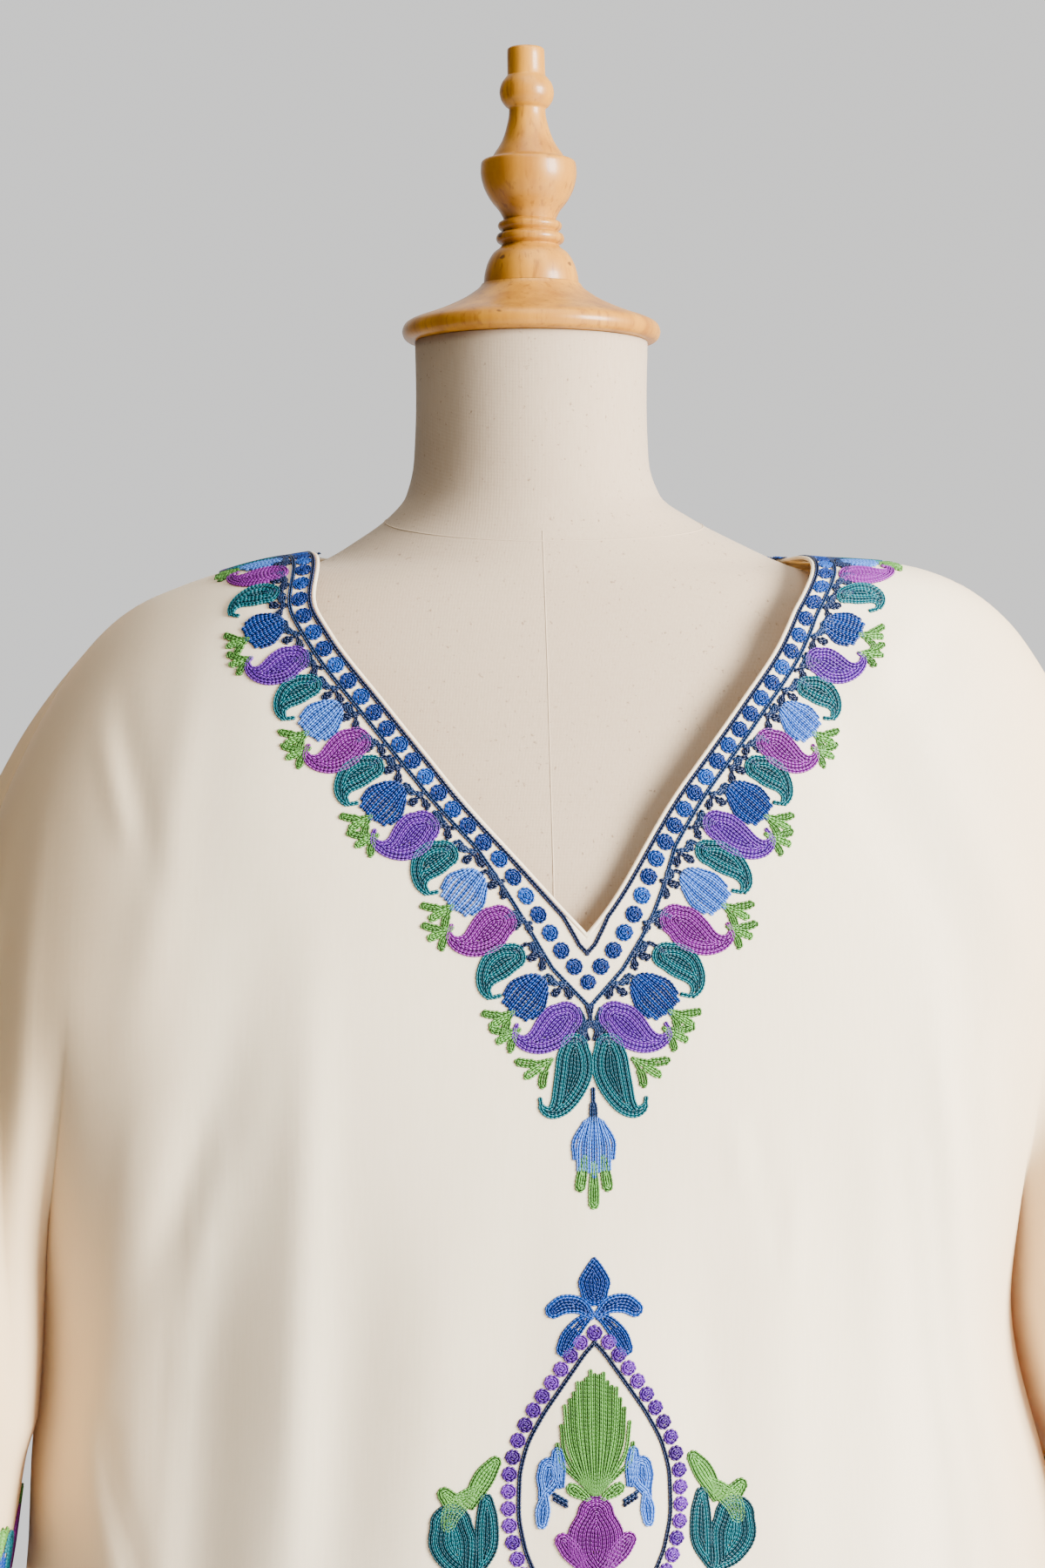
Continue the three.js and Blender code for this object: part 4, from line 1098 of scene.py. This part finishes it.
# Inside the drop: a green fan, two sky flowers and a large magenta flower.
centre(fan([(-252, 6), (-257, 0), (-252, -6)],
           [(-234, 17.5), (-214, 12), (-202, 0), (-214, -12), (-234, -17.5)],
           19, ["green", "green_light", "green"], 0.2, 0.5))
both_sides(leaf((0, 0), (6, -10), 2.6, PALE_GREENS), 3, -259)
both_filled([
    (24, -250, ["sky", "sky_light", "sky"], [(5, 3, 5.2), (0, 2.5, 5.6), (-5, 1, 3.4), (-9, -1, 1.2)]),
    (16.4, -247, ["sky", "sky_light"], [(9, -1, 2.6), (2, -0.5, 3.3), (-6, 0.6, 1.6)]),
    (24.5, -256, ["sky_light", "sky"], [(-14, 0, 2.6), (-8, 0.5, 3.4), (-1, 1.4, 1.6)])])
both_sides([("slate", curve([(0, 0), (-3, 5)])), ("navy", curve([(-2, 0), (-5, 5)]))], 18.5, -257)
centre(filled([(-266, 0, 8.4), (-274, 0, 12.6), (-284, 0, 12.4), (-291, 0, 7.5), (-296, 0, 2.0)],
              ["magenta", "magenta_light", "magenta", "magenta"]))
both_filled([
    (3, -272, ["magenta_light", "magenta"], [(-6, -12, 3.6), (-11, -8, 4.4), (-18, -3, 2.4), (-23, 0, 1.0)])])
both_sides(leaf((0, 0), (-2, -9), 2.4, GREENS), 6, -300)
centre(leaf((-296, 0), (-314, 0), 2.6, GREENS))

# Outside the drop: green leaves over teal flowers, and green leaves below.
TEALS = ["teal", "teal_light", "teal", "teal", "teal_light"]
both_filled([
    (55, -257, GREENS, [(15, 9, 3.0), (9, 4.6, 4.6), (2, 0.5, 4.0), (-5, -2, 1.6)]),
    (56, -258, GREENS, [(2, -13, 3.2), (-2, -8.5, 4.4), (0, -3, 3.0), (2, 0, 1.4)]),
    (54, -254, PALE_GREENS, [(-16, -13.5, 3.2), (-10, -11.5, 4.4), (-4, -5.5, 3.8), (1, 0, 1.4)]),
    (50, -276, TEALS, [(17, 0, 3.2), (8, 0.4, 5.0), (-4, 0, 5.2), (-14, -3, 2.4), (-19, -6, 1.0)]),
    (61, -272, TEALS, [(2, -5, 9.6), (-6, -4, 11.2), (-14, -1, 8.6), (-20, 3, 4.0), (-24, 7, 1.6)]),
    (50, -282, PALE_GREENS, [(-28, -12, 3.0), (-22, -9, 3.8), (-16, -3, 1.8)]),
    (44, -284, GREENS, [(-40, 2, 3.2), (-32, 1, 4.0), (-22, 0, 1.8)])])
print("rows in all:", len(drawn))

# %% [markdown]
# ## The cuffs
# The same border runs round each cuff. There s goes round the sleeve, and d goes up from its edge.

# %% The cuff borders
# How far out the middle of a sleeve is, the distance between dots, how much further from the edge the
# motifs lie than at the neck, and the small steps that find the direction straight out.
SLEEVE_MIDDLE, CUFF_DOT_STEP, CUFF_FURTHER = 295, 9.7, 3
TURN_STEP, UP_STEP = 0.004, 0.5


def cuff_place(side, s, d, lift):
    """Points on a sleeve: s millimetres round the cuff from the overarm seam and d up from the edge."""
    turn = np.linspace(0, 1, 240)
    rims = {panel: run_along(sleeve_point(panel, turn, cuff_line(turn, 0))) for panel in panels}
    half = rims["front"][-1]
    whole = half + rims["back"][-1]
    s = np.mod(s, whole)
    found = []
    for panel in panels:
        t = np.interp(s if panel == "front" else whole - s, rims[panel], turn)

        def at(t, d, panel=panel):
            z = cuff_line(t, 0) + d
            p = sleeve_point(panel, t, z)
            p[..., 1] += side_of(panel) * sleeve_fold(t, z, SLEEVE_PHASE[side])
            return settled(panel, p * np.array([side, 1, 1]))

        here = at(t, d)
        up = at(t, d + UP_STEP) - here
        beside = at(np.clip(t + TURN_STEP, 0, 1), d) - at(np.clip(t - TURN_STEP, 0, 1), d)
        out = np.cross(beside, up)
        away = here - np.array([SLEEVE_MIDDLE * side, 0, 0])
        away[..., 2] = 0
        out *= np.sign((out * away).sum(-1, keepdims=True))
        out /= np.linalg.norm(out, axis=-1, keepdims=True)
        found.append((here + out * lift, out))
    front = (s <= half)[..., None]
    points, out = (np.where(front, found[0][k], found[1][k]) for k in (0, 1))
    return points, out, whole


def cuff_border(whole):
    """The border of one cuff, drawn flat as (s, d)."""
    rows = []

    def put(made, s, d):
        rows.extend((t, np.stack([s + r[:, 1], d + r[:, 0]], axis=-1)) for t, r in made)

    s = np.arange(0, whole, 1.0)
    for thread, d in (("navy", 6.0), ("slate", 15.4)):
        rows.append((thread, np.stack([s, 0 * s + d], axis=-1)))
    dots = int(whole / CUFF_DOT_STEP)
    for k in range(dots):
        put(spiral(3.5, BLUES[:5][k % 5]), (k + 0.5) * whole / dots, 10.7)
    motifs = len(ORDER) * round(whole / STEP_BACK / len(ORDER))
    for k in range(motifs):
        kind, made = kind_of(ORDER[k % len(ORDER)])
        at = (k + 0.5) * whole / motifs
        put(turned_by(made, -8) if kind == "tulip" else made, at, KINDS[kind]["away"] + CUFF_FURTHER)
        if kind == "tulip":
            put(sprig(0.95), at - 1, 43.5)
        elif kind == "tall":
            put(turned_by(sprig(0.9), 8), at + 8.5, 47)
        put(turned_by(navy_leaves(), -14), at - 8.2, 21.4)
    return rows


# How high the stitches lie over the sheet, and how much lower the green leaves lie, which other rows cross.
LIFT, LEAF_SINK = 1.4, 0.1
threaded = {}


def keep(thread, points, outs):
    """Files a row under its thread, cut where it runs off the cloth."""
    known = np.isfinite(points[:, 0])
    cuts = np.flatnonzero(np.diff(known.astype(int))) + 1
    for part, out in zip(np.split(points, cuts), np.split(outs, cuts)):
        if len(part) > 3 and np.isfinite(part[0, 0]):
            threaded.setdefault(thread, []).append((part, out))


for name in panels:
    mine = [(thread, flat) for where, thread, flat in drawn if where == name]
    points, outs = lay(charts[name], np.concatenate([flat for _, flat in mine]), LIFT)
    at = 0
    for thread, flat in mine:
        rise = outs[at:at + len(flat)]
        under = LEAF_SINK if thread.startswith("green") else 0.0
        keep(thread, points[at:at + len(flat)] - rise * under, rise)
        at += len(flat)
for side in SLEEVE_PHASE:
    whole = cuff_place(side, np.zeros(1), np.zeros(1), LIFT)[2]
    for thread, flat in cuff_border(whole):
        points, outs, _ = cuff_place(side, flat[:, 0], flat[:, 1], LIFT)
        keep(thread, points, outs)
for thread, rows in threaded.items():
    length = sum(run_along(points)[-1] for points, _ in rows)
    print(f"{thread}: {len(rows)} rows, {length / 1000:.1f} m of stitching")

# %% [markdown]
# ## Materials
# Every material is made of shader nodes that read the object's own coordinates, so nothing is painted and
# no picture is loaded.

# %% Helpers for materials


def material(name, color, roughness, **settings):
    """A new material, its node tree and its shader. A setting names one of the shader's inputs."""
    made = bpy.data.materials.new(name)
    made.use_nodes = True
    shader = made.node_tree.nodes["Principled BSDF"]
    shader.inputs["Base Color"].default_value = (*color, 1)
    shader.inputs["Roughness"].default_value = roughness
    for socket, value in settings.items():
        shader.inputs[socket.replace("_", " ")].default_value = value
    return made, made.node_tree, shader


def node(tree, kind, **values):
    """Adds a node. Each value goes to the input of that name, or else to the setting of that name."""
    made = tree.nodes.new(kind)
    for name, value in values.items():
        if name in made.inputs:
            made.inputs[name].default_value = value
        else:
            setattr(made, name, value)
    return made


def noise(tree, vector, scale, detail=3.0, rough=0.5):
    """A soft random tone from 0 to 1."""
    made = node(tree, "ShaderNodeTexNoise", Scale=scale, Detail=detail, Roughness=rough)
    tree.links.new(vector, made.inputs["Vector"])
    return made.outputs["Fac"]


def remap(tree, value, low, high, to_low, to_high, **choices):
    """Takes one range of a value to another."""
    made = node(tree, "ShaderNodeMapRange", **choices)
    for socket, number in zip(("From Min", "From Max", "To Min", "To Max"), (low, high, to_low, to_high)):
        made.inputs[socket].default_value = number
    tree.links.new(value, made.inputs["Value"])
    return made.outputs["Result"]


def mix_color(tree, factor, first, second):
    """Mixes two colours. Each is either a fixed one or the output of a node."""
    made = node(tree, "ShaderNodeMix", data_type="RGBA")
    tree.links.new(factor, made.inputs["Factor"])
    for socket, value in ((made.inputs[6], first), (made.inputs[7], second)):
        if isinstance(value, tuple):
            socket.default_value = (*value, 1)
        else:
            tree.links.new(value, socket)
    return made.outputs[2]


def stretched(tree, scale):
    """The object's own coordinates, stretched along its axes."""
    place = node(tree, "ShaderNodeTexCoord")
    shape = node(tree, "ShaderNodeMapping", Scale=scale)
    tree.links.new(place.outputs["Object"], shape.inputs["Vector"])
    return shape.outputs["Vector"]


def maths(tree, operation, *values):
    """One step of arithmetic on the outputs of nodes."""
    made = node(tree, "ShaderNodeMath", operation=operation)
    for socket, value in zip(made.inputs, values):
        tree.links.new(value, socket)
    return made.outputs[0]


def bump(tree, shader, height, strength, distance):
    """Makes the surface look raised by a tone."""
    made = node(tree, "ShaderNodeBump", Strength=strength, Distance=distance)
    tree.links.new(height, made.inputs["Height"])
    tree.links.new(made.outputs["Normal"], shader.inputs["Normal"])


def weave(tree, pitch):
    """Two sets of fine threads, across and along, as waves in the object's own coordinates."""
    plain, waves = stretched(tree, (1, 1, 1)), []
    for axis in ("X", "Z"):
        wave = node(tree, "ShaderNodeTexWave", Scale=pitch, Distortion=1.2, Detail=1.0, bands_direction=axis)
        wave.inputs["Detail Scale"].default_value = 0.4
        tree.links.new(plain, wave.inputs["Vector"])
        waves.append(wave.outputs["Fac"])
    return maths(tree, "ADD", *waves)


# %% [markdown]
# ## One link, copied along every row
# A link of chain stitch is a loop of two strands. Geometry Nodes turns the rows into curves, sets a point
# every 1.8 mm, turns a link to face out of the cloth at each, and makes the copies real.

# %% One link


def strand(side):
    """A strand of the loop: it starts at the middle, bows out to one side and comes back."""
    points = [(-1.45, side * 0.12, -0.12)]
    for along, bow, thick in ((-0.72, 0.54, 0.66), (0.6, 0.56, 0.66)):
        for corner in range(3):
            angle = corner * 2 * math.pi / 3 + math.pi / 2
            points.append((along, side * (bow + thick * math.cos(angle)), 0.14 + thick * math.sin(angle)))
    points.append((1.35, side * 0.12, 0.05))
    faces = []
    for k in range(3):
        a, b = 1 + k, 1 + (k + 1) % 3
        faces += [(0, b, a), (a, b, b + 3, a + 3), (7, a + 3, b + 3)]
    return points, [face if side > 0 else face[::-1] for face in faces]


link_points, link_faces = [], []
for side in (1, -1):
    made, faces = strand(side)
    link_faces += [tuple(i + len(link_points) for i in face) for face in faces]
    link_points += made
link = new_object("stitch_link", link_points, link_faces)
print("a link has", len(link_points), "points and", len(link_faces), "faces")

# %% The node tree
tree = bpy.data.node_groups.new("chain_stitch", "GeometryNodeTree")
tree.interface.new_socket("Geometry", in_out="INPUT", socket_type="NodeSocketGeometry")
for label, kind in (("Link", "Object"), ("Pitch", "Float"), ("Thread", "Material")):
    tree.interface.new_socket(label, in_out="INPUT", socket_type="NodeSocket" + kind)
tree.interface.new_socket("Geometry", in_out="OUTPUT", socket_type="NodeSocketGeometry")
group_in, group_out = tree.nodes.new("NodeGroupInput"), tree.nodes.new("NodeGroupOutput")


def step(kind, choices=(), **links):
    """Adds a node, makes its choices, and links its named inputs to the outputs given."""
    made = tree.nodes.new(kind)
    for name, value in choices:
        setattr(made, name, value)
    for socket, source in links.items():
        tree.links.new(source, made.inputs[socket.replace("_", " ")])
    return made


curves = step("GeometryNodeMeshToCurve", Mesh=group_in.outputs["Geometry"])
even = step("GeometryNodeResampleCurve", [("mode", "LENGTH")], Curve=curves.outputs["Curve"],
            Length=group_in.outputs["Pitch"])
faces_out = step("GeometryNodeInputNamedAttribute", [("data_type", "FLOAT_VECTOR")])
faces_out.inputs["Name"].default_value = "out"
tangent = tree.nodes.new("GeometryNodeInputTangent")
forward = step("FunctionNodeAlignRotationToVector", [("axis", "X")], Vector=tangent.outputs["Tangent"])
facing = step("FunctionNodeAlignRotationToVector", [("axis", "Z"), ("pivot_axis", "X")],
              Rotation=forward.outputs["Rotation"], Vector=faces_out.outputs["Attribute"])
shape = step("GeometryNodeObjectInfo", Object=group_in.outputs["Link"])
copies = step("GeometryNodeInstanceOnPoints", Points=even.outputs["Curve"],
              Instance=shape.outputs["Geometry"], Rotation=facing.outputs["Rotation"])
real = step("GeometryNodeRealizeInstances", Geometry=copies.outputs["Instances"])
threadwork = step("GeometryNodeSetMaterial", Geometry=real.outputs["Geometry"],
                  Material=group_in.outputs["Thread"])
tree.links.new(threadwork.outputs["Geometry"], group_out.inputs["Geometry"])
sockets = {item.name: item.identifier for item in tree.interface.items_tree if item.in_out == "INPUT"}
print("inputs:", sockets)

# %% [markdown]
# ## The threads
# Sixteen silky threads are used. One material could take its colour from each stitch, but a material for
# each thread is easier to follow. All the stitches of one thread become one piece.

# %% Stitching
THREADS = {
    "violet": (0.060, 0.005, 0.19), "violet_light": (0.11, 0.015, 0.28), "plum": (0.036, 0.003, 0.12),
    "magenta": (0.12, 0.003, 0.15), "magenta_light": (0.18, 0.010, 0.22), "teal": (0.000, 0.040, 0.056),
    "teal_light": (0.001, 0.100, 0.125), "royal": (0.000, 0.018, 0.13), "blue": (0.001, 0.036, 0.21),
    "sky": (0.028, 0.105, 0.40), "sky_light": (0.07, 0.20, 0.60), "sky_dark": (0.006, 0.062, 0.30),
    "navy": (0.003, 0.010, 0.045), "slate": (0.005, 0.022, 0.080), "green": (0.055, 0.17, 0.024),
    "green_light": (0.10, 0.28, 0.05)}


def thread_material(name, color):
    """A silky thread: its tone changes a little from place to place, and it has a soft sheen."""
    made, tree, shader = material("thread_" + name, (0.8, 0.8, 0.8), 0.4, Specular_IOR_Level=0.35)
    cloud = noise(tree, node(tree, "ShaderNodeTexCoord").outputs["Object"], 260, 2.0)
    dark, light = tuple(c * 0.72 for c in color), tuple(min(1, c * 1.3) for c in color)
    tree.links.new(mix_color(tree, cloud, dark, light), shader.inputs["Base Color"])
    return made


stitches = []
for thread, rows in sorted(threaded.items()):
    points = np.concatenate([p for p, _ in rows])
    outs = np.concatenate([o for _, o in rows])
    edges, at = [], 0
    for p, _ in rows:
        edges += [(at + i, at + i + 1) for i in range(len(p) - 1)]
        at += len(p)
    mesh = bpy.data.meshes.new("chain_stitch_" + thread)
    mesh.from_pydata((points / 1000).tolist(), edges, [])
    mesh.attributes.new("out", "FLOAT_VECTOR", "POINT").data.foreach_set("vector", outs.ravel().astype(float))
    piece = bpy.data.objects.new("chain_stitch_" + thread, mesh)
    bpy.context.collection.objects.link(piece)
    work = piece.modifiers.new("chain_stitch", "NODES")
    work.node_group = tree
    work[sockets["Link"]] = link
    work[sockets["Pitch"]] = PITCH / 1000
    work[sockets["Thread"]] = thread_material(thread, THREADS[thread])
    bake(piece)
    piece.data.attributes.remove(piece.data.attributes["out"])
    thread_used = piece.data.materials[-1]
    piece.data.materials.clear()
    piece.data.materials.append(thread_used)
    stitches.append(piece)
    print(thread, len(piece.data.polygons), "faces")
bpy.data.objects.remove(link)
print("stitch triangles in all:", sum(len(f.vertices) - 2 for p in stitches for f in p.data.polygons))

# %% [markdown]
# ## The cream cloth
# The kaftan is of a thin plain cloth with fine threads, and light comes through it where it hangs free.
# The threads are far too fine to model. Two sets of waves raise the surface instead, faint streaks stand
# for thicker threads, and a translucent share lets the light through.

# %% Cream cloth
cream, tree, shader = material("cream_cloth", (0.86, 0.775, 0.585), 0.78, Sheen_Weight=0.12,
                               Sheen_Roughness=0.4, Sheen_Tint=(1, 0.97, 0.9, 1))
slubs = noise(tree, stretched(tree, (900, 900, 60)), 1.0, 2.0)
cloud = noise(tree, stretched(tree, (6, 6, 6)), 1.0, 2.0)
tone = mix_color(tree, remap(tree, slubs, 0.35, 0.65, 0.0, 1.0), (0.84, 0.75, 0.55), (0.88, 0.79, 0.595))
tone = mix_color(tree, remap(tree, cloud, 0.3, 0.7, 0.0, 0.35), tone, (0.87, 0.79, 0.61))
# The base colour turns orange towards the sleeves and the sides: painted warm light and shade, standing in
# for the light that comes through the free-hanging cloth there.
where_on = node(tree, "ShaderNodeSeparateXYZ")
tree.links.new(node(tree, "ShaderNodeTexCoord").outputs["Object"], where_on.inputs[0])
painted_warmth_side = maths(tree, "ABSOLUTE", where_on.outputs[0])
tone = mix_color(tree, remap(tree, painted_warmth_side, 0.17, 0.3, 0.0, 0.8), tone, (0.79, 0.54, 0.23))
tree.links.new(tone, shader.inputs["Base Color"])
bump(tree, shader, weave(tree, 700), 0.2, 0.0001)
through = node(tree, "ShaderNodeBsdfTranslucent", Color=(0.96, 0.68, 0.3, 1))
THROUGH_SHARE = 0.3
both = node(tree, "ShaderNodeMixShader")
both.inputs[0].default_value = THROUGH_SHARE
tree.links.new(shader.outputs[0], both.inputs[1])
tree.links.new(through.outputs[0], both.inputs[2])
tree.links.new(both.outputs[0], tree.nodes["Material Output"].inputs["Surface"])
print("cream cloth:", len(tree.nodes), "nodes")

# %% [markdown]
# ## The calico
# The form is covered with a matt unbleached cotton that has small dark and light flecks. The flecks could
# be tiny pieces, but as a fine noise they follow the cloth by themselves. The seams are a little lighter.

# %% Calico
calico, tree, shader = material("calico_cover", (0.41, 0.31, 0.205), 0.9, Sheen_Weight=0.1)
flecks = noise(tree, stretched(tree, (420, 420, 420)), 1.0, 2.0, 0.6)
yarns = noise(tree, stretched(tree, (1500, 1500, 120)), 1.0, 2.0)
tone = mix_color(tree, remap(tree, flecks, 0.66, 0.73, 0.0, 0.8), (0.39, 0.29, 0.19), (0.14, 0.08, 0.04))
tone = mix_color(tree, remap(tree, yarns, 0.3, 0.7, 0.0, 0.5), tone, (0.45, 0.35, 0.24))
tree.links.new(tone, shader.inputs["Base Color"])
bump(tree, shader, weave(tree, 560), 0.3, 0.00015)
print("calico:", len(tree.nodes), "nodes")
seam_cloth = material("seam_calico", (0.44, 0.335, 0.225), 0.9)[0]

# %% [markdown]
# ## The varnished wood
# The cap, the finial, the pole and the base are turned from one warm wood. Its grain runs up the turning,
# so the noise is stretched along the axis. Pores and a few dents are darker, and a clear coat lies on top.

# %% Varnished wood
wood, tree, shader = material("varnished_wood", (0.5, 0.2, 0.01), 0.42, Specular_IOR_Level=0.3,
                              Coat_Weight=0.22, Coat_Roughness=0.18)
grain = noise(tree, stretched(tree, (70, 70, 9)), 1.0, 5.0, 0.6)
pores = noise(tree, stretched(tree, (420, 420, 30)), 1.0, 3.0)
dents = noise(tree, stretched(tree, (95, 95, 160)), 1.0, 1.0)
tone = mix_color(tree, remap(tree, grain, 0.3, 0.7, 0.0, 1.0), (0.27, 0.098, 0.004), (0.48, 0.205, 0.008))
tone = mix_color(tree, remap(tree, pores, 0.56, 0.68, 0.0, 0.5), tone, (0.15, 0.048, 0.003))
tone = mix_color(tree, remap(tree, dents, 0.76, 0.8, 0.0, 0.8), tone, (0.06, 0.02, 0.006))
tree.links.new(tone, shader.inputs["Base Color"])
bump(tree, shader, grain, 0.12, 0.0006)
print("varnished wood:", len(tree.nodes), "nodes")

# %% Finishes on the pieces
cloths, covers, woods = (*panels.values(), binding), (torso, *seams), (cap, finial, pole, base)
for group, finish in ((cloths, cream), ((torso,), calico), (seams, seam_cloth), (woods, wood)):
    for piece in group:
        piece.data.materials.append(finish)
print("materials:", ", ".join(m.name for m in bpy.data.materials if m.users))

# %% [markdown]
# ## Light, floor and camera
# A large soft light from the front right is the key, and a pale world fills the shadows. The camera stands
# a little to the left of the kaftan's middle, level with its chest.

# %% Stage
FLOOR_Z, FLOOR_X, FLOOR_FRONT, FLOOR_BACK = -1, 3000, -3600, 2400
corners = [(-FLOOR_X, FLOOR_FRONT, FLOOR_Z), (FLOOR_X, FLOOR_FRONT, FLOOR_Z),
           (FLOOR_X, FLOOR_BACK, FLOOR_Z), (-FLOOR_X, FLOOR_BACK, FLOOR_Z)]
floor = new_object("studio_floor", corners, [(0, 1, 2, 3)], smooth=False)
floor.data.materials.append(material("pale_floor", (0.62, 0.61, 0.6), 0.8)[0])


def area_light(name, place, size, power, color):
    """A soft rectangular light that looks at the chest."""
    light = bpy.data.lights.new(name, "AREA")
    light.shape, light.size, light.size_y = "RECTANGLE", size[0], size[1]
    light.energy, light.color = power, color
    made = bpy.data.objects.new(name, light)
    bpy.context.collection.objects.link(made)
    made.location = place
    made.rotation_mode = "QUATERNION"
    made.rotation_quaternion = (Vector((0, 0, 1.2)) - Vector(place)).to_track_quat("-Z", "Y")


area_light("key_softbox", (2.3, -2.0, 2.0), (1.3, 1.7), 660, (1.0, 0.985, 0.965))
area_light("top_panel", (0.2, -0.9, 3.2), (1.6, 1.6), 30, (1.0, 0.99, 0.98))
world = bpy.data.worlds.new("studio")
bpy.context.scene.world = world
world.use_nodes = True
# The wall straight behind is pale. The studio is darker and warmer on the left, and darker behind the
# camera, so that the light from the right draws the folds.
tree = world.node_tree
background = tree.nodes["Background"]
axes = node(tree, "ShaderNodeSeparateXYZ")
tree.links.new(node(tree, "ShaderNodeTexCoord").outputs["Generated"], axes.inputs["Vector"])
from_left, from_behind = (
    remap(tree, axes.outputs[axis], -0.8, -0.2, dark, 1.02, interpolation_type="SMOOTHSTEP")
    for axis, dark in (("X", 0.08), ("Y", 0.42)))
tint = mix_color(tree, from_left, (0.97, 0.80, 0.58), (0.97, 0.965, 0.955))
tree.links.new(tint, background.inputs["Color"])
tree.links.new(maths(tree, "MULTIPLY", from_left, from_behind), background.inputs["Strength"])

camera_data = bpy.data.cameras.new("camera")
camera_data.lens, camera_data.sensor_width = 83.5, 36
camera = bpy.data.objects.new("camera", camera_data)
bpy.context.collection.objects.link(camera)
camera.location = (-0.276, -1.779, 1.310)
camera.rotation_mode = "QUATERNION"
camera.rotation_quaternion = Vector((0.146, 0.989, 0.0)).to_track_quat("-Z", "Y")
bpy.context.scene.camera = camera
print("camera at", tuple(round(v, 3) for v in camera.location))

# %% [markdown]
# ## Riding and replacing
# Each piece is parented to the body that it moves with, and the imported nodes that the pieces stand in for
# are hidden.

# %% Ride and replace
for piece in (*cloths, *covers, *woods, *stitches):
    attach(piece, "root")
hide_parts("front_panel")
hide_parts("back_panel")
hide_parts("neck_binding")
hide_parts("form_torso")
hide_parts("neck_cap")
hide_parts("finial")
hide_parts("stand_pole")
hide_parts("stand_base")
